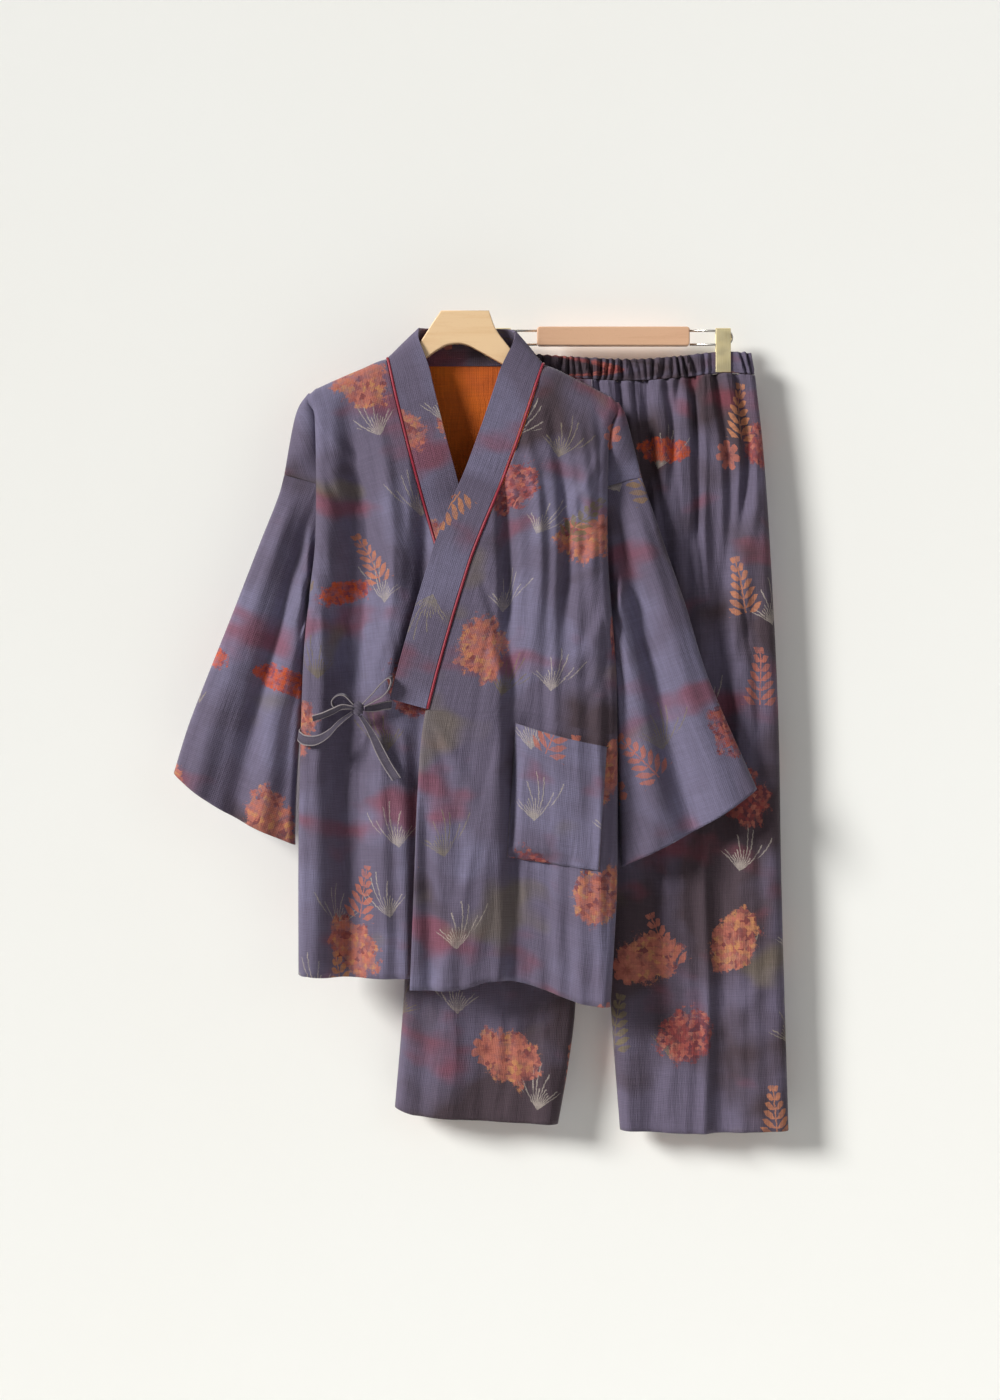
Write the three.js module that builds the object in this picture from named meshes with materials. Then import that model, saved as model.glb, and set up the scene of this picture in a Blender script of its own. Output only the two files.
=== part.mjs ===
// A kimono pajama set on two hangers: a wrapped jacket with a neckband, piping, a patch pocket and
// a tied bow, on a wooden hanger, and gathered trousers that hang behind it from a clip hanger.
// Millimetres, +Z up, -Y to the front, +X to the wearer's left. The origin is the middle of the
// flat top of the jacket hanger's neck.
import * as THREE from "three";

// ---------------------------------------------------------------- driving sizes
const CLOTH = 1.6; // wall of a single layer of cloth
const DOUBLED = 3; // wall of the folded neckband
const BAND_PROUD = 1; // how far the neckband stands out from the panels
const TIE = 2.4; // wall of a folded, stitched tie
const SEAM_GAP = 0.4; // between two pieces at a seam
const BAND_WIDTH = 46;
const PIPING_RADIUS = 1.4;
const PIPING_SPACE = 4.3; // between the neckband and the panel that it is sewn to
const SIDE_RADIUS = 12; // of the fold at each side of the jacket's body
const SIDE_TURN = THREE.MathUtils.degToRad(140); // how far the front turns round that fold
const LEG_PLANE = 36.9; // y of the trousers' middle plane
const LEG_RADIUS = 14; // of the folds at a leg's two sides

// ---------------------------------------------------------------- tables, in millimetres
// The jacket's top line: the shoulders and, between them, the level of the back neck.
const SHOULDER_LINE = [
  { x: -196, z: -103 },
  { x: -181, z: -95 },
  { x: -133, z: -74 },
  { x: -94, z: -60 },
  { x: 95, z: -67 },
  { x: 145, z: -88 },
  { x: 181, z: -107 },
  { x: 192, z: -114 },
];
const NECK = { right: -94, left: 95 }; // where the shoulder line meets the neckband's seam
const TIP = { right: -196, left: 192 }; // the shoulder points
// The visible fold at each side of the body, shoulder to hem.
const SIDE_FOLD = {
  right: [
    { z: -103, x: -196 },
    { z: -124, x: -188 },
    { z: -284, x: -186 },
    { z: -352, x: -193 },
    { z: -420, x: -200 },
    { z: -487, x: -203 },
    { z: -662, x: -207 },
    { z: -830, x: -207 },
  ],
  left: [
    { z: -114, x: 192 },
    { z: -144, x: 183 },
    { z: -184, x: 179 },
    { z: -310, x: 178 },
    { z: -407, x: 185 },
    { z: -463, x: 189 },
    { z: -662, x: 190 },
    { z: -734, x: 189 },
    { z: -870, x: 181 },
  ],
};
// The seam that joins each front to the neckband, and below it the front's free edge.
const FRONT_EDGE = {
  right: [
    { z: -60, x: -94 },
    { z: -110, x: -83 },
    { z: -182, x: -65 },
    { z: -280, x: -38 },
    { z: -380, x: -8 },
    { z: -480, x: 20 },
    { z: -640, x: 34 },
    { z: -840, x: 40 },
  ],
  left: [
    { z: -67, x: 95 },
    { z: -156, x: 66 },
    { z: -223, x: 41 },
    { z: -304, x: 8 },
    { z: -380, x: -16 },
    { z: -440, x: -33 },
    { z: -498, x: -48 },
    { z: -562, x: -56 },
    { z: -700, x: -62 },
    { z: -850, x: -68 },
  ],
};
const HEM = {
  right: [
    { x: -210, z: -822 },
    { x: -196, z: -829 },
    { x: -155, z: -832 },
    { x: 45, z: -832 },
  ],
  left: [
    { x: -68, z: -845 },
    { x: -6, z: -845 },
    { x: 30, z: -835 },
    { x: 63, z: -836 },
    { x: 90, z: -843 },
    { x: 144, z: -862 },
    { x: 185, z: -868 },
  ],
  back: [
    { x: -210, z: -824 },
    { x: -60, z: -838 },
    { x: 60, z: -846 },
    { x: 185, z: -866 },
  ],
};
// How far each panel stands in front of (or behind) the hanger's plane, by the drop below the
// shoulder line. The left front laps over the right one.
const DEPTH = {
  right: [
    { drop: 0, y: 0 },
    { drop: 3, y: 6 },
    { drop: 10, y: 10.5 },
    { drop: 25, y: 14 },
    { drop: 60, y: 18 },
    { drop: 120, y: 22 },
    { drop: 200, y: 24.5 },
    { drop: 320, y: 26 },
    { drop: 800, y: 26 },
  ],
  left: [
    { drop: 0, y: 0 },
    { drop: 3, y: 6 },
    { drop: 10, y: 10.5 },
    { drop: 25, y: 15 },
    { drop: 60, y: 21 },
    { drop: 120, y: 28 },
    { drop: 200, y: 33 },
    { drop: 320, y: 36 },
    { drop: 800, y: 37 },
  ],
  back: [
    { drop: 0, y: 0 },
    { drop: 3, y: 6.2 },
    { drop: 10, y: 10.5 },
    { drop: 25, y: 13.6 },
    { drop: 60, y: 15.6 },
    { drop: 200, y: 16.6 },
    { drop: 800, y: 17.6 },
  ],
};
// Soft vertical folds: where each runs at the top and at the hem, its half width, how far it
// stands out (or, negative, sinks in), and the heights between which it lives.
const FOLDS = {
  right: [
    { top: -170, hem: -190, half: 20, out: 5, from: -150, to: -900 },
    { top: -140, hem: -148, half: 24, out: -5, from: -240, to: -900 },
    { top: -112, hem: -112, half: 22, out: 5, from: -260, to: -900 },
    { top: -88, hem: -82, half: 14, out: -3, from: -420, to: -900 },
  ],
  left: [
    { top: 84, hem: -34, half: 26, out: 3, from: -420, to: -900 },
    { top: 80, hem: 16, half: 24, out: -4, from: -560, to: -900 },
    { top: 60, hem: 66, half: 24, out: -5, from: -220, to: -900 },
    { top: 108, hem: 122, half: 24, out: 4, from: -180, to: -900 },
    { top: 150, hem: 158, half: 18, out: -4, from: -160, to: -900 },
  ],
  back: [
    { top: -130, hem: -150, half: 28, out: 4, from: -140, to: -900 },
    { top: -80, hem: -96, half: 26, out: -4, from: -220, to: -900 },
    { top: -10, hem: -30, half: 34, out: 4, from: -200, to: -900 },
    { top: 56, hem: 44, half: 24, out: -4, from: -260, to: -900 },
    { top: 110, hem: 116, half: 26, out: 4, from: -160, to: -900 },
  ],
};
// The shoulder drops past the hanger's end as far as the sleeve's seam: its outline there.
const DROP_OUTLINE = {
  right: [
    { z: -103, x: -196 },
    { z: -118, x: -207 },
    { z: -139, x: -214 },
    { z: -205, x: -226 },
  ],
  left: [
    { z: -114, x: 192 },
    { z: -128, x: 200 },
    { z: -161, x: 209 },
    { z: -208, x: 221 },
  ],
};
const DROP_END = { right: -205, left: -208 }; // where the sleeve's seam meets the outline
const SEAM_STEP = 11; // the sleeve's seam falls by this much on its way to the fold
const SHOULDER_TOP = { right: -103, left: -114 };
const GROOVE = { front: -7.5, back: 5, seam: -2 }; // y of the groove behind the body's side fold
const UNDERARM = { right: -345, left: -352 };
const SLEEVE = {
  right: { outerX: -364, outerZ: -577, innerX: -212, innerZ: -667, cuffSag: 11 },
  left: { outerX: 365, outerZ: -597, innerX: 194, innerZ: -695, cuffSag: 8 },
};
const SLEEVE_OUTER = {
  right: [
    { z: -205, x: -226 },
    { z: -231, x: -233 },
    { z: -289, x: -256 },
    { z: -379, x: -291 },
    { z: -464, x: -325 },
    { z: -519, x: -346 },
    { z: -577, x: -364 },
  ],
  left: [
    { z: -208, x: 221 },
    { z: -241, x: 232 },
    { z: -311, x: 256 },
    { z: -365, x: 275 },
    { z: -444, x: 299 },
    { z: -501, x: 322 },
    { z: -597, x: 365 },
  ],
};
const SLEEVE_RADIUS = 11; // of the folds at a sleeve's two sides
const SLEEVE_DEPTH = { front: 12.5, back: 11 };
// Folds that run down a sleeve: their place from the outer edge (0) to the inner (1).
const SLEEVE_FOLDS = [
  { at: 0.2, half: 0.16, out: 3 },
  { at: 0.48, half: 0.16, out: -4 },
  { at: 0.74, half: 0.18, out: 3 },
];
// Round the neck, from the left shoulder over the back to the right one: the body's edge and the
// neckband's free edge, which stands up round the neck.
const NECKLINE = [
  { x: 99, y: 0, z: -68.7, freeX: 63, freeY: -2, freeZ: -27 },
  { x: 98.2, y: 4, z: -68.7, freeX: 61.5, freeY: 1.5, freeZ: -25 },
  { x: 95.2, y: 8.5, z: -68.5, freeX: 59, freeY: 5, freeZ: -23.5 },
  { x: 88, y: 14.5, z: -67, freeX: 53, freeY: 9.5, freeZ: -21.5 },
  { x: 70, y: 18.5, z: -66, freeX: 45, freeY: 12.5, freeZ: -20.5 },
  { x: 35, y: 19.5, z: -66, freeX: 28, freeY: 14.5, freeZ: -20 },
  { x: 0, y: 19.5, z: -66, freeX: 0, freeY: 14.5, freeZ: -20 },
  { x: -35, y: 19.5, z: -66, freeX: -27, freeY: 14.5, freeZ: -20 },
  { x: -70, y: 18.5, z: -66, freeX: -43, freeY: 12.5, freeZ: -20 },
  { x: -87, y: 14.5, z: -65.5, freeX: -50, freeY: 9.5, freeZ: -20.5 },
  { x: -94.3, y: 8.5, z: -64, freeX: -55, freeY: 5, freeZ: -21 },
  { x: -97.2, y: 4, z: -62.3, freeX: -56.5, freeY: 1.5, freeZ: -21.7 },
  { x: -98, y: 0, z: -61.5, freeX: -57, freeY: -2, freeZ: -22.5 },
];
const BAND_END = { left: -498, right: -470 }; // z of the band's two ends, at its seam edge
const POCKET = {
  topInner: [63, -515],
  topOuter: [176, -544],
  bottomInner: [53, -682],
  bottomOuter: [165, -697],
  mouth: 9,
};
// The tied bow: each ribbon's middle line and half width, from its sewn end or from the knot's
// surface, in the direction knot, outwards. across is the direction of the ribbon's width.
const KNOT = { x: -130.5, y: -43.5, z: -496.5, wide: 7, deep: 5.5, high: 9 };
const TIES = {
  tie_from_neckband: {
    across: [0.1, -0.2, 1],
    knot: [1, 0.25, -0.05],
    line: [
      { x: -90, y: -37.2, z: -492, half: 5.5 },
      { x: -100, y: -38.5, z: -493.5, half: 5.5 },
      { x: -111, y: -40, z: -496, half: 5 },
    ],
    half: 3.5,
  },
  tie_from_side: {
    across: [0.15, 0.1, 1],
    knot: [-0.8, 0.2, -0.6],
    line: [
      { x: -204.7, y: -12, z: -527, half: 5.5 },
      { x: -206.4, y: -18, z: -529, half: 6 },
      { x: -204.5, y: -26, z: -532, half: 6.5 },
      { x: -197, y: -33.5, z: -536, half: 6.5 },
      { x: -183, y: -37, z: -536, half: 6.5 },
      { x: -168, y: -38.5, z: -528, half: 6 },
      { x: -154, y: -40, z: -514, half: 4.5 },
    ],
    half: 2.5,
    off: 1.2,
  },
  tail_long: {
    across: [1, -0.15, 0.35],
    knot: [0.25, 0.1, -1],
    line: [
      { x: -84, y: -36, z: -584, half: 6 },
      { x: -95, y: -36, z: -567, half: 6 },
      { x: -104, y: -36.5, z: -550, half: 6 },
      { x: -112, y: -37.5, z: -533, half: 5 },
      { x: -120, y: -39.5, z: -518, half: 3.5 },
    ],
    half: 2.5,
  },
  tail_short: {
    across: [-0.1, -0.8, 0.8],
    knot: [-1, -0.7, 0.15],
    line: [
      { x: -187, y: -46, z: -509, half: 5 },
      { x: -175, y: -47.5, z: -505.5, half: 5 },
      { x: -162, y: -49, z: -500, half: 5 },
      { x: -150, y: -49, z: -494.5, half: 4 },
    ],
    half: 2.5,
    off: 1.2,
  },
};
const LOOPS = {
  loop_left: {
    across: [0.1, 1, 0.25],
    from: [-1, 0.05, 0.75],
    back: [-1, 0.05, -0.05],
    line: [
      { x: -147, y: -40.5, z: -481, half: 4 },
      { x: -156, y: -40, z: -480, half: 4.5 },
      { x: -163, y: -39.5, z: -486, half: 4.5 },
      { x: -162, y: -39.5, z: -493, half: 4.5 },
      { x: -155, y: -40, z: -497, half: 4 },
      { x: -147, y: -40.5, z: -496.5, half: 3.5 },
    ],
    half: 2.5,
  },
  loop_right: {
    across: [0.2, 1, 0.25],
    from: [0.75, -0.35, 0.8],
    back: [1, -0.3, 0.3],
    line: [
      { x: -112, y: -45.5, z: -477, half: 4 },
      { x: -102, y: -45.5, z: -465.5, half: 5 },
      { x: -93, y: -46, z: -458.5, half: 5.5 },
      { x: -89.5, y: -46.5, z: -462, half: 5.5 },
      { x: -92.5, y: -46.5, z: -472, half: 5.5 },
      { x: -99, y: -46.5, z: -480, half: 5 },
      { x: -110, y: -46, z: -487, half: 4 },
    ],
    half: 2.5,
  },
};

// Trousers. The fronts and backs share these lines, from the waist down.
const CENTRE_X = 159.5;
const CROTCH_Z = -385;
const LEG_OUTER = {
  right: [
    { z: -70, x: -47 },
    { z: -300, x: -66 },
    { z: -600, x: -73 },
    { z: -840, x: -77 },
    { z: -1010, x: -90 },
  ],
  left: [
    { z: -70, x: 366 },
    { z: -170, x: 377 },
    { z: -300, x: 386 },
    { z: -507, x: 396 },
    { z: -721, x: 400 },
    { z: -1035, x: 409 },
  ],
};
const LEG_INNER = {
  right: [
    { z: -70, x: 159.5 },
    { z: -385, x: 159.5 },
    { z: -460, x: 156 },
    { z: -700, x: 148 },
    { z: -878, x: 139 },
    { z: -951, x: 130 },
    { z: -1030, x: 116 },
  ],
  left: [
    { z: -70, x: 159.5 },
    { z: -385, x: 159.5 },
    { z: -460, x: 163 },
    { z: -700, x: 175 },
    { z: -878, x: 184 },
    { z: -1040, x: 196 },
  ],
};
const LEG_HEM = {
  right: [
    { x: -92, z: -1000 },
    { x: -63, z: -1010 },
    { x: 25, z: -1017.5 },
    { x: 118, z: -1022 },
  ],
  left: [
    { x: 190, z: -1029 },
    { x: 283, z: -1033 },
    { x: 410, z: -1030 },
  ],
};
// Depth of the legs in front of and behind their middle plane.
const LEG_DEPTH = [
  { z: -75, y: 7 },
  { z: -130, y: 11 },
  { z: -220, y: 13.5 },
  { z: -1040, y: 13.5 },
];
// Pleats under the waistband: pitch across, depth at the top, and where they have run out.
const PLEAT = { count: 9, depth: 2.2, end: -260 }; // count: on each panel
const LEG_FOLDS = {
  right: [
    { top: 10, hem: -30, half: 30, out: 3, from: -120, to: -1100 },
    { top: 70, hem: 40, half: 30, out: -3, from: -160, to: -1100 },
    { top: 120, hem: 84, half: 26, out: 2.5, from: -160, to: -1100 },
  ],
  left: [
    { top: 226, hem: 232, half: 24, out: -3, from: -120, to: -1100 },
    { top: 270, hem: 296, half: 28, out: 3, from: -140, to: -700 },
    { top: 306, hem: 330, half: 22, out: -3.5, from: -110, to: -760 },
    { top: 340, hem: 368, half: 22, out: 3, from: -110, to: -1100 },
  ],
};
const WAIST_TOP = [
  { x: -45, z: -46 },
  { x: 48, z: -47 },
  { x: 130, z: -52 },
  { x: 210, z: -55.5 },
  { x: 276, z: -51 },
  { x: 326, z: -45.5 },
  { x: 366, z: -48 },
];
const WAISTBAND = {
  left: 361,
  right: -41,
  height: 27,
  depth: 5.5,
  gathers: 82,
  gather: 1.8,
  flare: 8,
};

// Hangers.
const HANGER = { thick: 12, neck: 30, left: 182, right: -186, clearance: 5.3, end: 18 };
// The hanger's upper edge between its flat neck top and its arms, under the neckband.
const HANGER_TOP = {
  left: [
    { x: 38, z: -22 },
    { x: 50, z: -39 },
    { x: 62, z: -53 },
    { x: 76, z: -64 },
    { x: 90, z: -73 },
    { x: 102, z: -78 },
  ],
  right: [
    { x: -101, z: -71.5 },
    { x: -88, z: -66 },
    { x: -74, z: -56.5 },
    { x: -62, z: -47 },
    { x: -51, z: -32 },
    { x: -41, z: -16 },
  ],
};
// Its lower edge, from left to right: an arch under the neck.
const HANGER_UNDER = [
  { x: 100, z: -96 },
  { x: 49, z: -68 },
  { x: 33, z: -59 },
  { x: 15, z: -49 },
  { x: 3, z: -43 },
  { x: -9, z: -41 },
  { x: -23, z: -43 },
  { x: -34, z: -49 },
  { x: -50, z: -60 },
  { x: -100, z: -88 },
];
const RAIL = { x: 187, z: -26.4, length: 193, height: 24, thick: 14 };
const RODS = { upper: -19, lower: -36.5, reach: 150.5, radius: 1.5 };
const CLIP = { width: 19, top: -15.6, bottom: -72, plate: 1.6, grip: 2.4, fromMiddle: 139 };

// ---------------------------------------------------------------- helpers
const { lerp, clamp, smoothstep } = THREE.MathUtils;
const sign = { right: -1, left: 1 };

// The value of column `key` where column `by` is `at`: a smooth curve through the table's rows.
function read(table, by, key, at) {
  const up = table[table.length - 1][by] > table[0][by];
  const rows = up ? table : [...table].reverse();
  const x = clamp(at, rows[0][by], rows[rows.length - 1][by]);
  let i = 0;
  while (i < rows.length - 2 && x > rows[i + 1][by]) i++;
  const [a, b] = [rows[i], rows[i + 1]];
  const span = b[by] - a[by];
  const slope = (k) => {
    const before = rows[Math.max(k - 1, 0)];
    const after = rows[Math.min(k + 1, rows.length - 1)];
    return (after[key] - before[key]) / (after[by] - before[by]);
  };
  const u = (x - a[by]) / span;
  const [u2, u3] = [u * u, u * u * u];
  return (
    (2 * u3 - 3 * u2 + 1) * a[key] +
    (u3 - 2 * u2 + u) * span * slope(i) +
    (3 * u2 - 2 * u3) * b[key] +
    (u3 - u2) * span * slope(i + 1)
  );
}

// The sum of a table's soft folds at a place: a raised cosine across each, faded in at its top.
function foldsAt(table, x, z) {
  let sum = 0;
  for (const fold of table) {
    const down = clamp((z - fold.from) / (fold.to - fold.from), 0, 1);
    const middle = lerp(fold.top, fold.hem, down);
    const off = Math.abs(x - middle) / (fold.half * (0.75 + 0.35 * down));
    if (off < 1) sum += fold.out * 0.5 * (1 + Math.cos(Math.PI * off)) * smoothstep(down, 0, 0.3);
  }
  return sum;
}

// How far a rounded edge has risen, 0 to 1, at a distance from the edge.
const rise = (distance, radius) => Math.sqrt(1 - (1 - clamp(distance / radius, 0, 1)) ** 2);

const evenly = (count) => Array.from({ length: count + 1 }, (_, i) => i / count);

// A wall of cloth. point(s, t) is its outer face over the values in columns and rows; the inner
// face lies `thick` behind it. `square` may turn the direction of the wall's thickness at a place,
// so that two walls meet face to face. With `closed`, the columns go round a tube.
function clothWall({ columns, rows, point, thick = CLOTH, closed = false, flip = false, square }) {
  const grid = rows.map((t, j) => columns.map((s, i) => point(s, t, i, j)));
  const [n, m] = [columns.length, rows.length];
  const at = (i, j) => grid[clamp(j, 0, m - 1)][closed ? (i + n) % n : clamp(i, 0, n - 1)];
  const positions = [];
  const inner = [];
  for (let j = 0; j < m; j++) {
    for (let i = 0; i < n; i++) {
      const along = at(i + 1, j).clone().sub(at(i - 1, j));
      const down = at(i, j + 1).clone().sub(at(i, j - 1));
      const normal = along.cross(down).normalize();
      if (flip) normal.negate();
      if (square) square(normal, i, j);
      positions.push(...at(i, j).toArray());
      inner.push(...at(i, j).clone().addScaledVector(normal.normalize(), -thick).toArray());
    }
  }
  const back = n * m;
  positions.push(...inner);
  const index = [];
  const quad = (a, b, c, d) => (flip ? index.push(a, c, b, b, c, d) : index.push(a, b, c, b, d, c));
  const spans = closed ? n : n - 1;
  const id = (i, j) => j * n + (i % n);
  for (let j = 0; j < m - 1; j++) {
    for (let i = 0; i < spans; i++) {
      const [a, b, c, d] = [id(i, j), id(i + 1, j), id(i, j + 1), id(i + 1, j + 1)];
      quad(a, b, c, d);
      quad(b + back, a + back, d + back, c + back);
    }
  }
  for (let i = 0; i < spans; i++) {
    const [a, b] = [id(i, 0), id(i + 1, 0)];
    quad(a + back, b + back, a, b);
    const [c, d] = [id(i, m - 1), id(i + 1, m - 1)];
    quad(c, d, c + back, d + back);
  }
  for (let j = 0; j < m - 1 && !closed; j++) {
    const [a, c] = [id(0, j), id(0, j + 1)];
    quad(a + back, a, c + back, c);
    const [b, d] = [id(n - 1, j), id(n - 1, j + 1)];
    quad(b, b + back, d, d + back);
  }
  return new THREE.BufferGeometry()
    .setAttribute("position", new THREE.Float32BufferAttribute(positions, 3))
    .setIndex(index);
}

const materials = {
  printedCotton: new THREE.MeshStandardMaterial({ color: 0x5c5766, roughness: 0.85 }),
  pipingSatin: new THREE.MeshStandardMaterial({ color: 0x8c1f2e, roughness: 0.55 }),
  tieCotton: new THREE.MeshStandardMaterial({ color: 0x6b6474, roughness: 0.85 }),
  beech: new THREE.MeshStandardMaterial({ color: 0xf2cf9f, roughness: 0.5 }),
  steel: new THREE.MeshStandardMaterial({ color: 0xc9c9c6, roughness: 0.25, metalness: 1 }),
  brass: new THREE.MeshStandardMaterial({ color: 0xb89a55, roughness: 0.3, metalness: 1 }),
};

const set = new THREE.Group();
function add(name, geometry, material) {
  const mesh = new THREE.Mesh(geometry, material);
  mesh.name = name;
  set.add(mesh);
  return mesh;
}

// ---------------------------------------------------------------- jacket body
const shoulderZ = (x) => read(SHOULDER_LINE, "x", "z", x);
const edgeX = (side, z) => read(FRONT_EDGE[side], "z", "x", z);
const foldX = (side, z) => read(SIDE_FOLD[side], "z", "x", z);
const grooveX = (side, z) => foldX(side, z) - sign[side] * SIDE_RADIUS * (1 - Math.sin(SIDE_TURN));

// y of a front's outer face at a place on its flat part.
function frontY(side, x, z) {
  const drop = Math.max(shoulderZ(x) - z, 0);
  return -read(DEPTH[side], "drop", "y", drop) - foldsAt(FOLDS[side], x, z);
}
function backY(x, z) {
  const drop = Math.max(shoulderZ(x) - z, 0);
  return read(DEPTH.back, "drop", "y", drop) + foldsAt(FOLDS.back, x, z);
}

// Where a front (face -1) or the back (face 1) ends at a height: the armhole, or the side seam.
function armholeEdge(side, face, z) {
  const groove = { x: grooveX(side, z), y: face < 0 ? GROOVE.front : GROOVE.back };
  const open = smoothstep(z, UNDERARM[side] - 2, UNDERARM[side] + 26);
  const seamY = GROOVE.seam + (face * SEAM_GAP) / 2;
  return { x: groove.x + sign[side] * 4 * open, y: lerp(seamY, groove.y, open) };
}

// The jacket's side, shared by a front (face -1) and the back (face 1): from the flat part's end
// round the fold, into the groove behind it, and out to the armhole or side seam.
// turn goes from 0 at the flat part to 1 at the seam.
function sidePoint(side, face, turn, z, flatX, flatY) {
  const seamGap = (face * SEAM_GAP) / 2;
  const groove = { x: grooveX(side, z), y: face < 0 ? GROOVE.front : GROOVE.back };
  const turnEnd = face < 0 ? SIDE_TURN : Math.PI / 2;
  const wrap = clamp(turn * 2, 0, 1);
  const past = clamp(turn * 2 - 1, 0, 1);
  // Round the fold.
  const angle = wrap * turnEnd;
  const share = (1 - Math.cos(angle)) / (1 - Math.cos(turnEnd));
  const reachX = face < 0 ? foldX(side, z) : groove.x;
  const wrapX = flatX + (reachX - flatX) * Math.sin(angle);
  const wrapY = lerp(flatY, groove.y, share);
  // Out of the groove: over the dropped shoulder, or to the armhole's or the side's seam.
  const dropped = z > DROP_END[side] - 1;
  const outlineX = read(DROP_OUTLINE[side], "z", "x", z);
  const seam = dropped ? { x: outlineX, y: seamGap } : armholeEdge(side, face, z);
  const pastY = dropped ? lerp(groove.y, seam.y, past ** 3) : lerp(groove.y, seam.y, past);
  const grooved = {
    x: past > 0 ? lerp(groove.x, seam.x, past) : wrapX,
    y: past > 0 ? pastY : wrapY,
  };
  // Just below the shoulder point there is no groove yet, and the cloth rounds straight over.
  const depth = smoothstep(SHOULDER_TOP[side] - z, 4, 46);
  const round = (turn * Math.PI) / 2;
  const plain = {
    x: flatX + (outlineX - flatX) * Math.sin(round),
    y: lerp(flatY, seamGap, 1 - Math.cos(round)),
  };
  return new THREE.Vector3(lerp(plain.x, grooved.x, depth), lerp(plain.y, grooved.y, depth), z);
}

// The rows of the jacket's body: their share of the way from the shoulder to the hem. Down to
// the underarm they keep to the heights of the armhole; two of them enclose the band's end.
function bodyRows(side) {
  const top = SHOULDER_TOP[side];
  const end = DROP_END[side];
  const under = UNDERARM[side];
  const armhole = [end, end - SEAM_STEP, -255, -305, under + 12, under - 4];
  const heights = [top, top - 3, top - 10, top - 24, top - 48, top - 76, ...armhole];
  const shares = heights.map((z) => (z - top) / (sideHem(side) - top));
  const front = FRONT_EDGE[side][0].z;
  const bandEnd = (BAND_END[side] - front) / (read(HEM[side], "x", "z", 0) - front);
  return [...shares, 0.44, bandEnd - 0.0012, bandEnd + 0.0012, 0.66, 0.77, 0.88, 1];
}
const sideHem = (side) => read(HEM[side], "x", "z", foldX(side, -830));
const ROWS = { right: bodyRows("right"), left: bodyRows("left") };
const rowHeight = (side, row) => lerp(SHOULDER_TOP[side], sideHem(side), ROWS[side][row]);

// A front panel. Columns 0 to 1 cross its flat part from the front edge; 1 to 2 go round the side.
function frontPoint(side, s, row) {
  const share = ROWS[side][row];
  const flat = Math.min(s, 1);
  const inset = sign[side] * SIDE_RADIUS;
  const edgeInset = sign[side] * PIPING_SPACE;
  const topX = lerp(NECK[side] + edgeInset, TIP[side] - inset, flat);
  const hemX = lerp(edgeX(side, -840), foldX(side, -830) - inset, flat);
  const z = lerp(shoulderZ(topX), read(HEM[side], "x", "z", hemX), share);
  const edge = edgeX(side, z) + edgeInset * (row <= BAND_END_ROW ? 1 : 0);
  const x = lerp(edge, foldX(side, z) - inset, flat);
  const y = row === 0 ? -SEAM_GAP / 2 : frontY(side, x, z);
  if (s <= 1) return new THREE.Vector3(x, y, z);
  return sideOf(side, -1, s - 1, row, new THREE.Vector3(x, y, z));
}
const BAND_END_ROW = 13;
// The side of a panel: its rows leave the flat part at their own height and reach the seam at the
// height where the other panel's row reaches it.
function sideOf(side, face, turn, row, flat) {
  const seamZ = rowHeight(side, row);
  const z = lerp(flat.z, seamZ, smoothstep(turn, 0, 0.6));
  return sidePoint(side, face, turn, seamZ, flat.x, flat.y).setZ(z);
}

const sideColumns = [1.12, 1.25, 1.37, 1.5, 1.68, 1.86, 2];
const DROPPED_ROWS = 6; // index of the last row above the sleeve's seam
const UNDERARM_ROW = 11; // index of the first row below the armhole

// Turns the direction of a panel's thickness square to its seams: upwards along the shoulder,
// sideways down the side, and between the two at the shoulder point.
function squareBody(normal, out, turn, row, onShoulder) {
  if (onShoulder) normal.set(out * 0.75 * smoothstep(turn, 0, 1), 0, 1);
  else if (turn === 1 && (row <= DROPPED_ROWS || row >= UNDERARM_ROW)) normal.set(out, 0, 0);
}
function frontPanel(side, flatColumns) {
  const columns = [...evenly(flatColumns), ...sideColumns];
  return clothWall({
    columns,
    rows: Array.from(ROWS[side].keys()),
    point: (s, row) => frontPoint(side, s, row),
    flip: side === "left",
    square: (normal, i, j) => squareBody(normal, sign[side], columns[i] - 1, j, j === 0),
  });
}
add("jacket_front_left", frontPanel("left", 14), materials.printedCotton);
add("jacket_front_right", frontPanel("right", 13), materials.printedCotton);

// The back panel: columns -2 to -1 round the right side, -1 to 1 across, 1 to 2 round the left.
const BACK_TOP = { right: TIP.right + SIDE_RADIUS, left: TIP.left - SIDE_RADIUS };
function backPoint(s, row) {
  const side = s < 0 ? "right" : "left";
  const across = (clamp(s, -1, 1) + 1) / 2;
  const share = lerp(ROWS.right[row], ROWS.left[row], across);
  const topX = lerp(BACK_TOP.right, BACK_TOP.left, across);
  const hemX = lerp(foldX("right", -830) + SIDE_RADIUS, foldX("left", -830) - SIDE_RADIUS, across);
  const atNeck = topX > NECKLINE[NECKLINE.length - 1].x - 0.01 && topX < NECKLINE[0].x + 0.01;
  const topY = atNeck ? Math.max(read(NECKLINE, "x", "y", topX), SEAM_GAP / 2) : SEAM_GAP / 2;
  const topZ = atNeck ? read(NECKLINE, "x", "z", topX) : shoulderZ(topX);
  const z = lerp(topZ, read(HEM.back, "x", "z", hemX), share);
  const x = lerp(foldX("right", z) + SIDE_RADIUS, foldX("left", z) - SIDE_RADIUS, across);
  const settled = atNeck ? smoothstep(topZ - z, 0, 60) : 1;
  const hung = backY(x, z);
  const y = row === 0 ? topY : Math.max(lerp(topY, hung, settled), hung);
  const flat = new THREE.Vector3(x, y, z);
  return Math.abs(s) <= 1 ? flat : sideOf(side, 1, Math.abs(s) - 1, row, flat);
}
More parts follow.
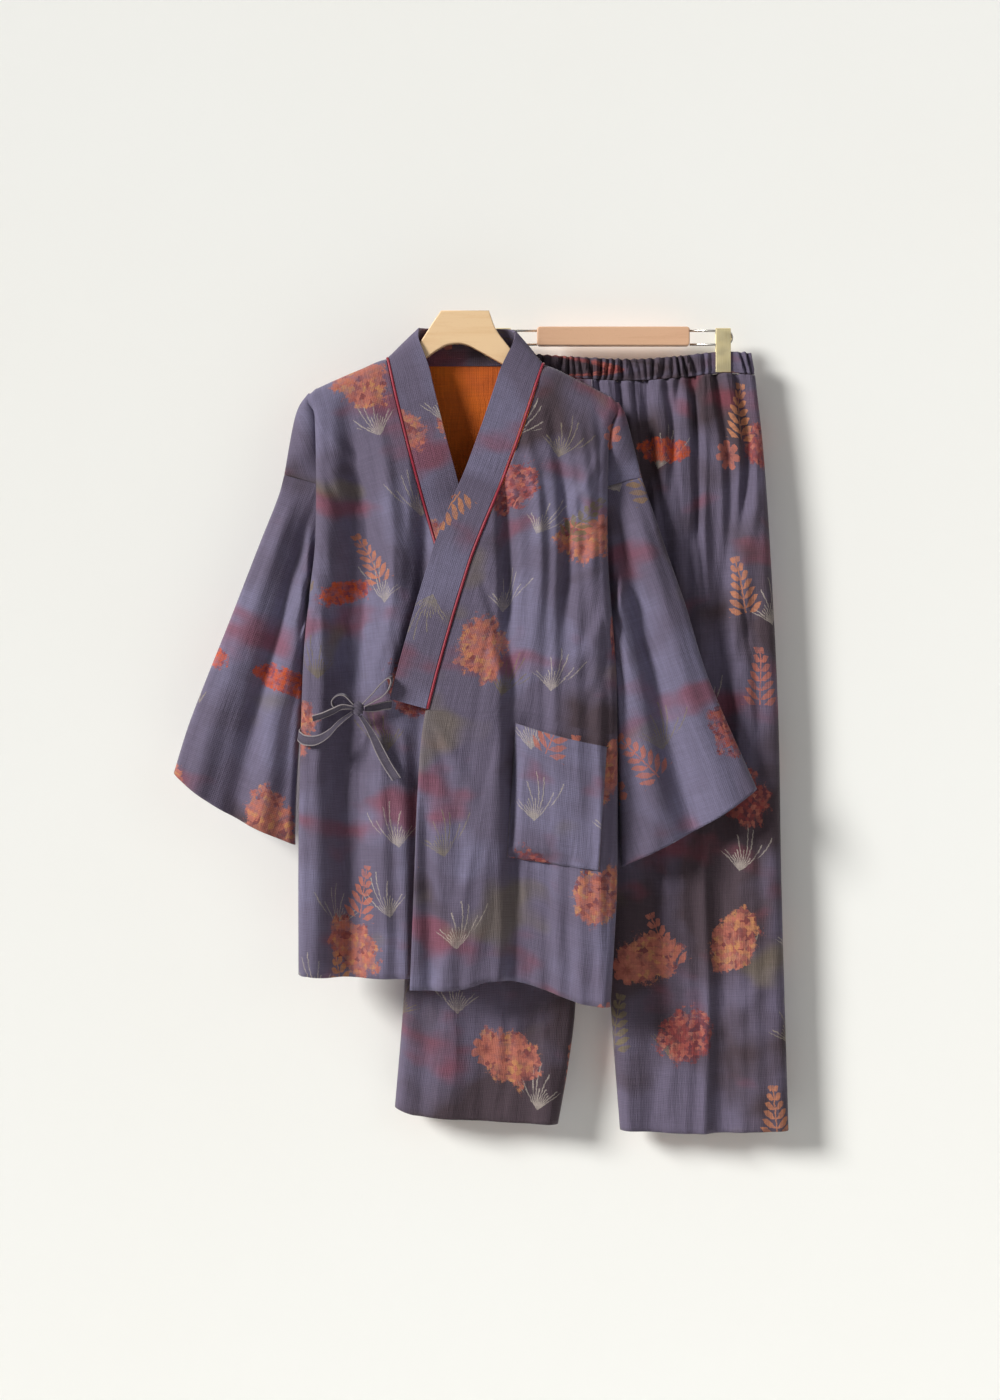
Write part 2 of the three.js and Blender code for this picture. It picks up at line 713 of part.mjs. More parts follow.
function backPanel() {
  const necks = NECKLINE.map((station) => station.x).reverse();
  const tops = [BACK_TOP.right, -162, -140, -118, ...necks, 120, 141, 161, BACK_TOP.left];
  const flat = tops.map((x) => (2 * (x - BACK_TOP.right)) / (BACK_TOP.left - BACK_TOP.right) - 1);
  const columns = [...sideColumns.map((s) => -s).reverse(), ...flat, ...sideColumns];
  return clothWall({
    columns,
    rows: Array.from(ROWS.right.keys()),
    point: backPoint,
    square: (normal, i, j) => {
      const s = columns[i];
      const onShoulder = j === 0 && backPoint(s, 0).y < 1;
      squareBody(normal, Math.sign(s), Math.abs(s) - 1, j, onShoulder);
    },
  });
}
add("jacket_back", backPanel(), materials.printedCotton);

// ---------------------------------------------------------------- sleeves
// A place on a sleeve's outer face. u runs from the outer fold (0) to the inner one (1), t from
// the armhole (0) to the cuff (1); face is -1 for the front half and 1 for the back half.
const CORNER_U = 0.42; // where the armhole turns from the shoulder's seam down into the groove
const SLEEVE_GAP = 0.85;
function sleevePoint(side, face, u, t) {
  const out = sign[side];
  const size = SLEEVE[side];
  const start = DROP_END[side] - SLEEVE_GAP;
  const cornerZ = start - SEAM_STEP;
  const underZ = UNDERARM[side] - 4;
  const line = (w) => {
    const outerZ = lerp(start, size.outerZ, w);
    const innerZ = lerp(underZ, size.innerZ, w);
    const tucked = grooveX(side, innerZ) + out * lerp(SLEEVE_GAP, 2.6, smoothstep(w, 0, 0.1));
    const innerX = lerp(tucked, size.innerX, smoothstep(w, 0.3, 1));
    return {
      x: lerp(read(SLEEVE_OUTER[side], "z", "x", outerZ), innerX, u),
      z: lerp(outerZ, innerZ, u),
      width: Math.hypot(read(SLEEVE_OUTER[side], "z", "x", outerZ) - innerX, outerZ - innerZ),
    };
  };
  const armholeAt = (z) => {
    const edge = armholeEdge(side, face, z);
    const away = SLEEVE_GAP + 0.5 * smoothstep(-z, -UNDERARM[side] - 50, -UNDERARM[side] - 12);
    return { x: edge.x + out * away, y: edge.y, z };
  };
  const corner = armholeAt(cornerZ);
  const down = clamp((u - CORNER_U) / (1 - CORNER_U), 0, 1);
  const across = Math.min(u / CORNER_U, 1);
  const outlineX = read(DROP_OUTLINE[side], "z", "x", start);
  const overShoulder = {
    x: lerp(outlineX, corner.x, across),
    y: lerp(corner.y, 0, (1 - across) ** 3),
    z: lerp(start, cornerZ, across),
  };
  const joined = u < CORNER_U ? overShoulder : armholeAt(lerp(cornerZ, underZ, down));
  const straight = line(0);
  const here = line(t);
  const fading = (1 - t) ** 1.6;
  const fromEdge = Math.min(u, 1 - u) * here.width;
  const middle = lerp(GROOVE.seam * u, 0, t);
  const full = (face < 0 ? SLEEVE_DEPTH.front : SLEEVE_DEPTH.back) + 0.5 * foldShare(face, u);
  const bulge = middle + face * full * rise(fromEdge, SLEEVE_RADIUS);
  return new THREE.Vector3(
    here.x + (joined.x - straight.x) * fading,
    lerp(joined.y, bulge, smoothstep(t, 0, 0.2)),
    here.z + (joined.z - straight.z) * fading - size.cuffSag * Math.sin(Math.PI * u ** 0.8) * t ** 3,
  );
}
// Folds down a sleeve's front, and the same ones mirrored on its back.
function foldShare(face, u) {
  let sum = 0;
  for (const fold of SLEEVE_FOLDS) {
    const off = Math.abs(u - (face < 0 ? fold.at : 1 - fold.at)) / fold.half;
    if (off < 1) sum += fold.out * (1 + Math.cos(Math.PI * off));
  }
  return sum;
}
function sleeve(side) {
  const acrossU = [0, 0.03, 0.09, 0.2, 0.31, 0.42, 0.52, 0.65, 0.806, 0.929, 0.985, 1];
  const round = [
    ...acrossU.map((u) => ({ u, face: -1 })),
    ...acrossU.slice(1, -1).reverse().map((u) => ({ u, face: 1 })),
  ];
  return clothWall({
    columns: round,
    rows: [0, 0.05, 0.13, 0.24, 0.37, 0.5, 0.63, 0.76, 0.89, 1],
    point: ({ u, face }, t) => sleevePoint(side, face, u, t),
    closed: true,
    flip: side === "right",
  });
}
add("sleeve_left", sleeve("left"), materials.printedCotton);
add("sleeve_right", sleeve("right"), materials.printedCotton);

// ---------------------------------------------------------------- neckband and piping
// Stations along the body's edge: the edge itself, at the rows of the front panels, and the unit
// direction across the neckband.
function frontStation(side, row) {
  const edge = frontPoint(side, 0, row);
  const down = frontPoint(side, 0, Math.min(row + 1, BAND_END_ROW));
  down.sub(frontPoint(side, 0, Math.max(row - 1, 1))).setY(0).normalize();
  const across = new THREE.Vector3(down.z, 0, -down.x).multiplyScalar(sign[side]);
  return { edge, across, width: BAND_WIDTH };
}
function neckStation({ x, y, z, freeX, freeY, freeZ }) {
  const edge = new THREE.Vector3(x, y, z);
  const reach = new THREE.Vector3(freeX, freeY, freeZ).sub(edge);
  return { edge, across: reach.clone().normalize(), width: reach.length() - PIPING_SPACE };
}
const BAND_ROWS = [3, 4, 5, 6, 8, 9, 11, 12, 13];
// The direction across the neckband where it turns up over each shoulder.
const NECK_TURN = { left: new THREE.Vector3(-40, -3, 30), right: new THREE.Vector3(41, -2, 27) };
const bandStations = [
  ...BAND_ROWS.map((row) => frontStation("left", row)).reverse(),
  { ...frontStation("left", 1), across: NECK_TURN.left.clone().normalize(), width: 44 },
  ...NECKLINE.map(neckStation),
  { ...frontStation("right", 1), across: NECK_TURN.right.clone().normalize(), width: 44 },
  ...BAND_ROWS.map((row) => frontStation("right", row)),
];
// The band stands a little proud of the panels; outward is towards the seen face.
function outwardAt(k) {
  const before = bandStations[Math.max(k - 1, 0)].edge;
  const after = bandStations[Math.min(k + 1, bandStations.length - 1)].edge;
  return bandStations[k].across.clone().cross(after.clone().sub(before)).normalize().negate();
}
const bandPoint = (s, t, i, k) => {
  const { edge, across, width } = bandStations[k];
  const reach = PIPING_SPACE + s * width;
  return edge.clone().addScaledVector(across, reach).addScaledVector(outwardAt(k), BAND_PROUD);
};
const neckband = clothWall({
  columns: [0, 0.5, 1],
  rows: bandStations.map((_, k) => k),
  point: bandPoint,
  thick: DOUBLED,
  flip: true,
});
add("neckband", neckband, materials.printedCotton);

// A line through stations, cut at each station rather than at even lengths.
class StationLine extends THREE.Curve {
  constructor(stations) {
    super();
    this.stations = stations;
  }
  getPoint(share) {
    const last = this.stations.length - 1;
    const k = clamp(Math.floor(share * last), 0, last - 1);
    return this.stations[k].clone().lerp(this.stations[k + 1], share * last - k);
  }
  getUtoTmapping(share) {
    return share;
  }
}
// A round cord along a line of points.
function cord(points, radius, sides = 6) {
  const section = new THREE.Shape();
  for (let k = 0; k < sides; k++) {
    const angle = (2 * Math.PI * (k + 0.5)) / sides;
    const [x, y] = [radius * Math.cos(angle), radius * Math.sin(angle)];
    if (k === 0) section.moveTo(x, y);
    else section.lineTo(x, y);
  }
  section.closePath();
  const extrudePath = new StationLine(points);
  return new THREE.ExtrudeGeometry(section, {
    steps: points.length - 1,
    bevelEnabled: false,
    extrudePath,
  });
}
const pipingLine = bandStations.map(({ edge, across }, k) =>
  edge.clone().addScaledVector(across, PIPING_SPACE / 2).addScaledVector(outwardAt(k), 0.2),
);
add("neckband_piping", cord(pipingLine, PIPING_RADIUS), materials.pipingSatin);

// ---------------------------------------------------------------- pocket
function pocketPoint(u, v) {
  const blend = (k) =>
    lerp(
      lerp(POCKET.topInner[k], POCKET.topOuter[k], u),
      lerp(POCKET.bottomInner[k], POCKET.bottomOuter[k], u),
      v,
    );
  const [x, z] = [blend(0), blend(1)];
  const gaping = POCKET.mouth * Math.sin(Math.PI * u) ** 0.8 * (1 - v) ** 1.6;
  return new THREE.Vector3(x, frontY("left", x, z) - 0.6 - CLOTH - gaping, z);
}
const pocket = clothWall({
  columns: evenly(7),
  rows: [0, 0.1, 0.22, 0.36, 0.52, 0.68, 0.84, 1],
  point: pocketPoint,
  flip: false,
});
add("pocket", pocket, materials.printedCotton);

// ---------------------------------------------------------------- ties
// A place just off the knot's surface, in a direction from its middle.
function offKnot([dx, dy, dz], half, off = 0.8) {
  const direction = new THREE.Vector3(dx, dy, dz).normalize();
  const { wide, deep, high } = KNOT;
  const reach = 1 / Math.hypot(direction.x / wide, direction.y / deep, direction.z / high) + off;
  const { x, y, z } = direction.multiplyScalar(reach).add(KNOT);
  return { x, y, z, half };
}
function ribbon(across, line) {
  const direction = new THREE.Vector3(...across).normalize();
  return clothWall({
    columns: [-1, 0, 1],
    rows: line,
    point: (s, { x, y, z, half }) =>
      new THREE.Vector3(x, y, z).addScaledVector(direction, s * half),
    thick: TIE,
  });
}
for (const [name, { across, knot, line, half, off }] of Object.entries(TIES)) {
  add(name, ribbon(across, [...line, offKnot(knot, half, off)]), materials.tieCotton);
}
for (const [name, { across, from, back, line, half }] of Object.entries(LOOPS)) {
  const round = [offKnot(from, half), ...line, offKnot(back, half)];
  add(name, ribbon(across, round), materials.tieCotton);
}
const knot = new THREE.SphereGeometry(1, 10, 7).scale(KNOT.wide, KNOT.deep, KNOT.high);
add("bow_knot", knot.translate(KNOT.x, KNOT.y, KNOT.z), materials.tieCotton);

// ---------------------------------------------------------------- trousers
const waistTop = (x) => read(WAIST_TOP, "x", "z", x);
const legOuter = (side, z) => read(LEG_OUTER[side], "z", "x", z);
const legInner = (side, z) => read(LEG_INNER[side], "z", "x", z);
// A place on a leg's outer face: u from the centre or inseam (0) to the outer fold (1), t from
// the waistband (0) to the hem (1).
function legPoint(side, face, u, t) {
  const out = sign[side];
  const topX = lerp(CENTRE_X, legOuter(side, -70), u);
  const hemX = lerp(legInner(side, -1025), legOuter(side, -1025), u);
  const top = waistTop(topX) - WAISTBAND.height - 0.7;
  const z = lerp(top, read(LEG_HEM[side], "x", "z", hemX), t);
  const spread = Math.max(out * (legInner(side, z) - CENTRE_X), 0);
  const inner = CENTRE_X + out * (spread + SEAM_GAP / 2);
  const outer = legOuter(side, z);
  const width = Math.abs(outer - inner);
  const x = lerp(inner, outer, u);
  const body = smoothstep(z, CROTCH_Z, CROTCH_Z + 65);
  const innerRise = lerp(rise(u * width, LEG_RADIUS), 1, body);
  const outerRise = rise((1 - u) * width, LEG_RADIUS);
  const pleats = PLEAT.depth * Math.cos(2 * Math.PI * PLEAT.count * u) * smoothstep(z, PLEAT.end, -90);
  const folded = foldsAt(LEG_FOLDS[side], face < 0 ? x : legInner(side, z) + outer - x, z);
  const edges = Math.min(innerRise, outerRise);
  const full = read(LEG_DEPTH, "z", "y", z) + (pleats + folded) * edges ** 2;
  const y = LEG_PLANE + face * (full * edges + (SEAM_GAP / 2) * (1 - edges));
  return new THREE.Vector3(x, y, z);
}
function legPanel(side, face) {
  const pleated = evenly(2 * PLEAT.count).slice(0, -1);
  const columns = [pleated[0], 0.014, ...pleated.slice(1), 0.986, 1];
  const top = -75;
  const heights = [top, -92, -116, -150, -205, -280, -340, CROTCH_Z, -470, -600, -740, -880, -1028];
  const rows = heights.map((z) => (z - top) / (-1028 - top));
  const centre = sign[side];
  return clothWall({
    columns,
    rows,
    point: (u, t) => legPoint(side, face, u, t),
    flip: (side === "left") === (face < 0),
    square: (normal, i, j) => {
      if (columns[i] === 1 || (columns[i] === 0 && heights[j] <= CROTCH_Z)) normal.y = 0;
      if (columns[i] === 0 && centre * normal.x > 0) normal.x = 0;
    },
  });
}
for (const side of ["left", "right"]) {
  add(`trousers_front_${side}`, legPanel(side, -1), materials.printedCotton);
  add(`trousers_back_${side}`, legPanel(side, 1), materials.printedCotton);
}

// The gathered waistband: a flat ring, pinched where the clips hold it.
function waistPoint(k, t) {
  const { left, right, height, depth, gathers, gather, flare } = WAISTBAND;
  const straight = left - right - 2 * depth;
  const around = 2 * straight + 2 * Math.PI * depth;
  const d = (k / (2 * gathers)) * around;
  const place = stadium(d, straight, depth);
  const middle = (left + right) / 2;
  const x = middle + place.x;
  const fromClip = Math.min(...CLIPS.map((clipX) => Math.abs(x - clipX)));
  const free = smoothstep(fromClip, CLIP.width / 2 + 1, CLIP.width / 2 + 16);
  const out = (k % 2 === 0 ? 1 : -1) * gather * free * 0.5;
  const y = (place.y + place.normalY * out) * lerp(CLIP.grip / depth, 1, free);
  const spread = 1 + (flare * t) / (left - right);
  return new THREE.Vector3(
    middle + (place.x + place.normalX * out) * spread,
    LEG_PLANE + y,
    waistTop(x) - t * height,
  );
}
// A place at distance d round a stadium, from the start of its front straight side.
function stadium(d, straight, radius) {
  const bend = Math.PI * radius;
  if (d < straight) return { x: -straight / 2 + d, y: -radius, normalX: 0, normalY: -1 };
  if (d < straight + bend) {
    const angle = (d - straight) / radius;
    const [normalX, normalY] = [Math.sin(angle), -Math.cos(angle)];
    return { x: straight / 2 + radius * normalX, y: radius * normalY, normalX, normalY };
  }
  const opposite = stadium(d - straight - bend, straight, radius);
  return { x: -opposite.x, y: -opposite.y, normalX: -opposite.normalX, normalY: -opposite.normalY };
}
const CLIPS = [RAIL.x - CLIP.fromMiddle, RAIL.x + CLIP.fromMiddle];
const waistband = clothWall({
  columns: Array.from({ length: 2 * WAISTBAND.gathers }, (_, k) => k),
  rows: [0, 1],
  point: waistPoint,
  closed: true,
  flip: true,
});
add("waistband", waistband, materials.printedCotton);

// ---------------------------------------------------------------- hangers
// A flat shape in the plane of x and z, made solid to both sides of a plane y = middle.
function board(shape, thick, middle, bevel) {
  const geometry = new THREE.ExtrudeGeometry(shape, {
    depth: thick - 2 * bevel,
    bevelThickness: bevel,
    bevelSize: bevel,
    bevelOffset: -bevel,
    bevelSegments: 2,
    curveSegments: 3,
  });
  return geometry.translate(0, 0, bevel - thick / 2).rotateX(Math.PI / 2).translate(0, middle, 0);
}
function jacketHanger() {
  const arm = (x) => shoulderZ(x) - HANGER.clearance;
  const shape = new THREE.Shape();
  shape.moveTo(-HANGER.neck, 0);
  shape.lineTo(HANGER.neck, 0);
  for (const { x, z } of HANGER_TOP.left) shape.lineTo(x, z);
  for (const x of [120, 145, 165, HANGER.left - 4]) shape.lineTo(x, arm(x));
  shape.lineTo(HANGER.left, arm(HANGER.left) - 4);
  shape.lineTo(HANGER.left - 3, arm(HANGER.left) - HANGER.end);
  for (const { x, z } of HANGER_UNDER) shape.lineTo(x, z);
  shape.lineTo(HANGER.right + 3, arm(HANGER.right) - HANGER.end);
  shape.lineTo(HANGER.right, arm(HANGER.right) - 4);
  for (const x of [HANGER.right + 4, -165, -145, -120]) shape.lineTo(x, arm(x));
  for (const { x, z } of HANGER_TOP.right) shape.lineTo(x, z);
  shape.closePath();
  return board(shape, HANGER.thick, 0, 2.5);
}
add("jacket_hanger", jacketHanger(), materials.beech);

function roundedRectangle(width, height, radius) {
  const shape = new THREE.Shape();
  const [w, h] = [width / 2, height / 2];
  shape.moveTo(-w + radius, -h);
  shape.lineTo(w - radius, -h);
  shape.absarc(w - radius, -h + radius, radius, -Math.PI / 2, 0);
  shape.absarc(w - radius, h - radius, radius, 0, Math.PI / 2);
  shape.absarc(-w + radius, h - radius, radius, Math.PI / 2, Math.PI);
  shape.absarc(-w + radius, -h + radius, radius, Math.PI, 1.5 * Math.PI);
  return shape;
}
const rail = board(roundedRectangle(RAIL.length, RAIL.height, 4), RAIL.thick, LEG_PLANE, 1.5);
add("clip_hanger_rail", rail.translate(RAIL.x, 0, RAIL.z), materials.beech);

// A wire out of the rail's end, round a bend and back, on which a clip rides.
function railWire(side) {
  const out = sign[side];
  const start = RAIL.x + out * (RAIL.length / 2 + 0.4);
  const radius = (RODS.upper - RODS.lower) / 2;
  const bendX = RAIL.x + out * (RODS.reach - radius);
  const middle = (RODS.upper + RODS.lower) / 2;
  const points = [new THREE.Vector3(start, LEG_PLANE, RODS.upper)];
  for (const k of [-4, -3, -2, -1, 0, 1, 2, 3, 4]) {
    const angle = (-k * Math.PI) / 8;
    const x = bendX + out * radius * Math.cos(angle);
    points.push(new THREE.Vector3(x, LEG_PLANE, middle + radius * Math.sin(angle)));
  }
  points.push(new THREE.Vector3(start, LEG_PLANE, RODS.lower));
  return cord(points, RODS.radius);
}
// A clip: a strip of metal bent over the wires, its two jaws on the waistband.
function clip(x) {
  const { top, bottom, plate, grip, width } = CLIP;
  const inside = grip + 0.55;
  const outside = inside + plate;
  const shape = new THREE.Shape();
  shape.moveTo(-outside, bottom);
  shape.lineTo(-outside, top - outside);
  shape.absarc(0, top - outside, outside, Math.PI, 0, true);
  shape.lineTo(outside, bottom);
  shape.lineTo(inside, bottom);
  shape.lineTo(inside, top - outside);
  shape.absarc(0, top - outside, inside, 0, Math.PI, false);
  shape.lineTo(-inside, bottom);
  shape.closePath();
  const strip = new THREE.ExtrudeGeometry(shape, { depth: width, bevelEnabled: false, curveSegments: 8 });
  return strip.rotateX(Math.PI / 2).rotateZ(Math.PI / 2).translate(x - width / 2, LEG_PLANE, 0);
}
for (const side of ["left", "right"]) {
  add(`clip_wire_${side}`, railWire(side), materials.steel);
  add(`clip_${side}`, clip(RAIL.x + sign[side] * CLIP.fromMiddle), materials.brass);
}

export default set;
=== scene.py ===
"""A kimono pajama set on two hangers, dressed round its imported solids: a wrapped double-gauze
jacket with a neckband, piping, a patch pocket and a tied bow, and gathered trousers behind it.

Lengths are in millimetres until a mesh is made, as in the part's own tables, and in metres after.
"""

import math

import bmesh
import bpy
import numpy as np
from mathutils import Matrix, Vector


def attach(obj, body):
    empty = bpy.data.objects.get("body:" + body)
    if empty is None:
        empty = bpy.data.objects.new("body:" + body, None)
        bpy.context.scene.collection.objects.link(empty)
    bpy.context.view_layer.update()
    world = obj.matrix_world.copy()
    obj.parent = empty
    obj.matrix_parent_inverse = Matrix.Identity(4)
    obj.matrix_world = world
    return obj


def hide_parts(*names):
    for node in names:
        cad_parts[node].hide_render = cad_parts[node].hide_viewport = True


bl_info = {
    "name": "Kimono pajama set",
    "version": (1, 0, 0),
    "blender": (4, 5, 0),
    "location": "View3D > Sidebar > Pajama set",
    "description": "Builds a kimono jacket and trousers on their hangers round the packed solids",
    "category": "Object",
}

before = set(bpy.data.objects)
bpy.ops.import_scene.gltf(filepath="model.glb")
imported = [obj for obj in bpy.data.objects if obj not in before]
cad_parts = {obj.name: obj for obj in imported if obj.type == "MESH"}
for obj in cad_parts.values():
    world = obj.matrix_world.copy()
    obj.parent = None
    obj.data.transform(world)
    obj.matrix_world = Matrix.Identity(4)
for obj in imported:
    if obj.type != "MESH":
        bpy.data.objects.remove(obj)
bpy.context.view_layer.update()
MM = 0.001

# ------------------------------------------------------------------ tables, in millimetres
# Each table is a set of named columns.
SHOULDER_LINE = {
    "x": (-196, -181, -133, -94, 95, 145, 181, 192),
    "z": (-103, -95, -74, -60, -67, -88, -107, -114),
}
NECK = {"right": -94, "left": 95}
TIP = {"right": -196, "left": 192}
SIDE_FOLD = {
    "right": {
        "z": (-103, -124, -284, -352, -420, -487, -662, -830),
        "x": (-196, -188, -186, -193, -200, -203, -207, -207),
    },
    "left": {
        "z": (-114, -144, -184, -310, -407, -463, -662, -734, -870),
        "x": (192, 183, 179, 178, 185, 189, 190, 189, 181),
    },
}
FRONT_EDGE = {
    "right": {
        "z": (-60, -110, -182, -280, -380, -480, -640, -840),
        "x": (-94, -83, -65, -38, -8, 20, 34, 40),
    },
    "left": {
        "z": (-67, -156, -223, -304, -380, -440, -498, -562, -700, -850),
        "x": (95, 66, 41, 8, -16, -33, -48, -56, -62, -68),
    },
}
HEM = {
    "right": {"x": (-210, -196, -155, 45), "z": (-822, -829, -832, -832)},
    "left": {
        "x": (-68, -6, 30, 63, 90, 144, 185),
        "z": (-845, -845, -835, -836, -843, -862, -868),
    },
    "back": {"x": (-210, -60, 60, 185), "z": (-824, -832, -833, -864)},
}
DEPTH = {
    "right": {
        "drop": (0, 3, 10, 25, 60, 120, 200, 320, 800),
        "y": (0, 6, 10.5, 14, 18, 22, 24.5, 26, 26),
    },
    "left": {
        "drop": (0, 3, 10, 25, 60, 120, 200, 320, 800),
        "y": (0, 6, 10.5, 15, 21, 28, 33, 36, 37),
    },
    "back": {
        "drop": (0, 3, 10, 25, 60, 200, 800),
        "y": (0, 6.2, 10.5, 13.6, 15.6, 16.6, 17.6),
    },
}
# Soft vertical folds: their place at the top and at the hem, half width, how far they stand out,
# and the heights between which they live. The first rows are the solids' own.
FOLD_COLUMNS = ("top", "hem", "half", "out", "start", "end")
FOLDS = {
    "right": (
        (-170, -190, 20, 5, -150, -900),
        (-140, -148, 24, -5, -240, -900),
        (-112, -112, 22, 5, -260, -900),
        (-88, -82, 14, -3, -420, -900),
    ),
    "left": (
        (84, -34, 26, 3, -420, -900),
        (80, 16, 24, -4, -560, -900),
        (60, 66, 24, -5, -220, -900),
        (108, 122, 24, 4, -180, -900),
        (150, 158, 18, -4, -160, -900),
    ),
    "back": (
        (-130, -150, 28, 4, -140, -900),
        (-80, -96, 26, -4, -220, -900),
        (-10, -30, 34, 4, -200, -900),
        (56, 44, 24, -4, -260, -900),
        (110, 116, 26, 4, -160, -900),
    ),
}
# Finer folds that the solids leave out.
FINE_FOLDS = {
    "right": (
        (-126, -142, 50, -13, -90, -900),
        (-150, -158, 24, -4, -260, -900),
        (-58, -54, 20, -8, -440, -900),
        (-150, -176, 9, 1.3, -300, -900),
        (-128, -132, 10, -1.1, -420, -900),
        (-96, -100, 9, 1.1, -380, -900),
        (-84, -74, 12, 1.6, -480, -900),
        (-60, -40, 14, 0.9, -500, -900),
        (-120, -150, 7, -0.72, -200, -620),
        (-100, -64, 8, -0.84, -330, -560),
    ),
    "left": (
        (80, 98, 64, -13, -400, -900),
        (46, 58, 14, -6, -150, -620),
        (124, 128, 16, -4, -150, -620),
        (176, 182, 14, -6, -300, -900),
        (-40, -46, 16, -5, -560, -900),
        (100, 106, 12, -1.8, -200, -560),
        (60, -48, 12, 1.4, -470, -900),
        (40, -16, 13, -1.6, -500, -900),
        (96, 40, 12, 1.2, -300, -900),
        (74, 84, 10, -0.96, -260, -900),
        (126, 140, 10, 1.1, -330, -900),
        (150, 172, 11, 1.4, -150, -900),
        (90, 96, 8, 0.72, -130, -560),
        (40, -8, 9, -0.9, -330, -640),
    ),
    "back": (
        (-150, -176, 12, -1.6, -200, -900),
        (-104, -122, 10, 1.4, -180, -860),
        (-52, -64, 12, 1.8, -240, -900),
        (14, 6, 12, -1.6, -300, -900),
        (80, 82, 11, 1.4, -200, -900),
        (140, 150, 10, -1.8, -220, -900),
    ),
}
# Drag creases across the hang, each from one place to another; the place where the bow pulls, the
# underarms and the pocket's corners start most of them.
CREASE_COLUMNS = ("x0", "z0", "x1", "z1", "half", "out")
CREASES = {
    "right": (
        (-150, -100, -158, -470, 27, -8),
        (-116, -110, -98, -500, 20, 4),
        (-58, -165, -66, -360, 19, -6),
        (-176, -300, -180, -640, 15, -4),
        (-184, -190, -128, -330, 13, -2.6),
        (-176, -150, -104, -236, 12, 2.0),
        (-190, -345, -150, -430, 10, -2.2),
        (-130, -500, -192, -410, 10, 1.8),
        (-138, -505, -196, -470, 9, -1.8),
        (-136, -515, -190, -600, 12, -1.4),
        (-132, -515, -160, -690, 13, 1.3),
        (-126, -515, -112, -700, 12, -1.4),
        (-120, -512, -74, -640, 13, 1.4),
        (-112, -505, -66, -560, 10, -2.0),
        (-44, -250, -90, -490, 20, -7.5),
        (-92, -300, -124, -480, 12, 2.6),
        (-176, -700, -150, -826, 11, -1.2),
        (-104, -720, -96, -830, 12, 1.2),
    ),
    "left": (
        (46, -176, 40, -430, 14, -6),
        (76, -150, 80, -430, 14, 3.4),
        (108, -130, 112, -440, 16, -4.5),
        (164, -120, 166, -350, 15, -5),
        (140, -140, 142, -420, 14, 3),
        (172, -200, 122, -360, 13, -2.4),
        (178, -352, 128, -470, 12, 2.2),
        (176, -380, 150, -520, 10, -2.4),
        (168, -180, 112, -270, 11, 1.8),
        (20, -330, 44, -470, 11, -2.2),
        (30, -420, 60, -530, 12, 2.4),
        (-44, -505, 20, -640, 13, 1.4),
        (-40, -520, -6, -690, 11, -1.6),
        (-50, -560, -40, -760, 11, 1.3),
        (56, -690, 70, -840, 13, -1.6),
        (108, -706, 98, -840, 14, 1.6),
        (166, -700, 150, -862, 12, -1.4),
        (30, -660, 16, -840, 14, -1.3),
        (60, -540, 50, -680, 8, -0.96),
    ),
    "back": (
        (-186, -190, -120, -340, 15, -2.0),
        (182, -200, 116, -350, 15, -2.0),
        (-60, -90, -44, -330, 15, 1.6),
        (60, -92, 48, -330, 15, 1.6),
        (-196, -380, -140, -540, 13, 1.6),
        (180, -380, 126, -540, 13, 1.6),
        (-30, -420, -40, -740, 16, -1.8),
        (40, -500, 52, -820, 16, 1.6),
        (-120, -600, -130, -826, 14, -1.8),
        (126, -620, 140, -856, 14, -1.6),
    ),
}
LEG_CREASES = {
    "right": (
        (-36, -20, -30, -290, 12, -7),
        (-4, -30, 2, -380, 13, -7),
        (30, -20, 34, -280, 11, -6),
        (62, -30, 66, -420, 14, -7),
        (94, -20, 90, -300, 10, -6),
        (124, -30, 126, -360, 12, -7),
        (-64, -560, -10, -700, 16, -2.4),
        (-66, -850, 30, -780, 16, 2.2),
        (120, -860, 40, -930, 16, -2.2),
        (-20, -870, -40, -1010, 14, 2.2),
        (50, -860, 44, -1014, 14, -2.4),
        (96, -880, 104, -1016, 12, 2.2),
    ),
    "left": (
        (216, -20, 208, -330, 15, -8),
        (246, -30, 250, -250, 9, -5),
        (276, -20, 282, -340, 11, -8),
        (311, -20, 320, -430, 13, -9),
        (336, -20, 348, -310, 10, -8),
        (360, -30, 370, -240, 9, -5),
        (190, -30, 186, -260, 10, -6),
        (372, -330, 320, -470, 16, -2.6),
        (230, -180, 250, -420, 12, -2.6),
        (376, -120, 352, -300, 11, 2.4),
        (300, -420, 372, -560, 18, 2.2),
        (388, -600, 330, -720, 17, -2.4),
        (214, -640, 280, -780, 16, 2.2),
        (396, -820, 320, -900, 18, 2.2),
        (206, -820, 270, -930, 16, -2.4),
        (330, -900, 344, -1030, 14, -2.2),
        (250, -900, 244, -1028, 14, 2.0),
    ),
}
DROP_OUTLINE = {
    "right": {"z": (-103, -118, -139, -205), "x": (-196, -207, -214, -226)},
    "left": {"z": (-114, -128, -161, -208), "x": (192, 200, 209, 221)},
}
DROP_END = {"right": -205, "left": -208}
SEAM_STEP = 11
SHOULDER_TOP = {"right": -103, "left": -114}
GROOVE = {"front": -2.5, "back": 5, "seam": -2}
SHOULDER_FULLNESS = 8
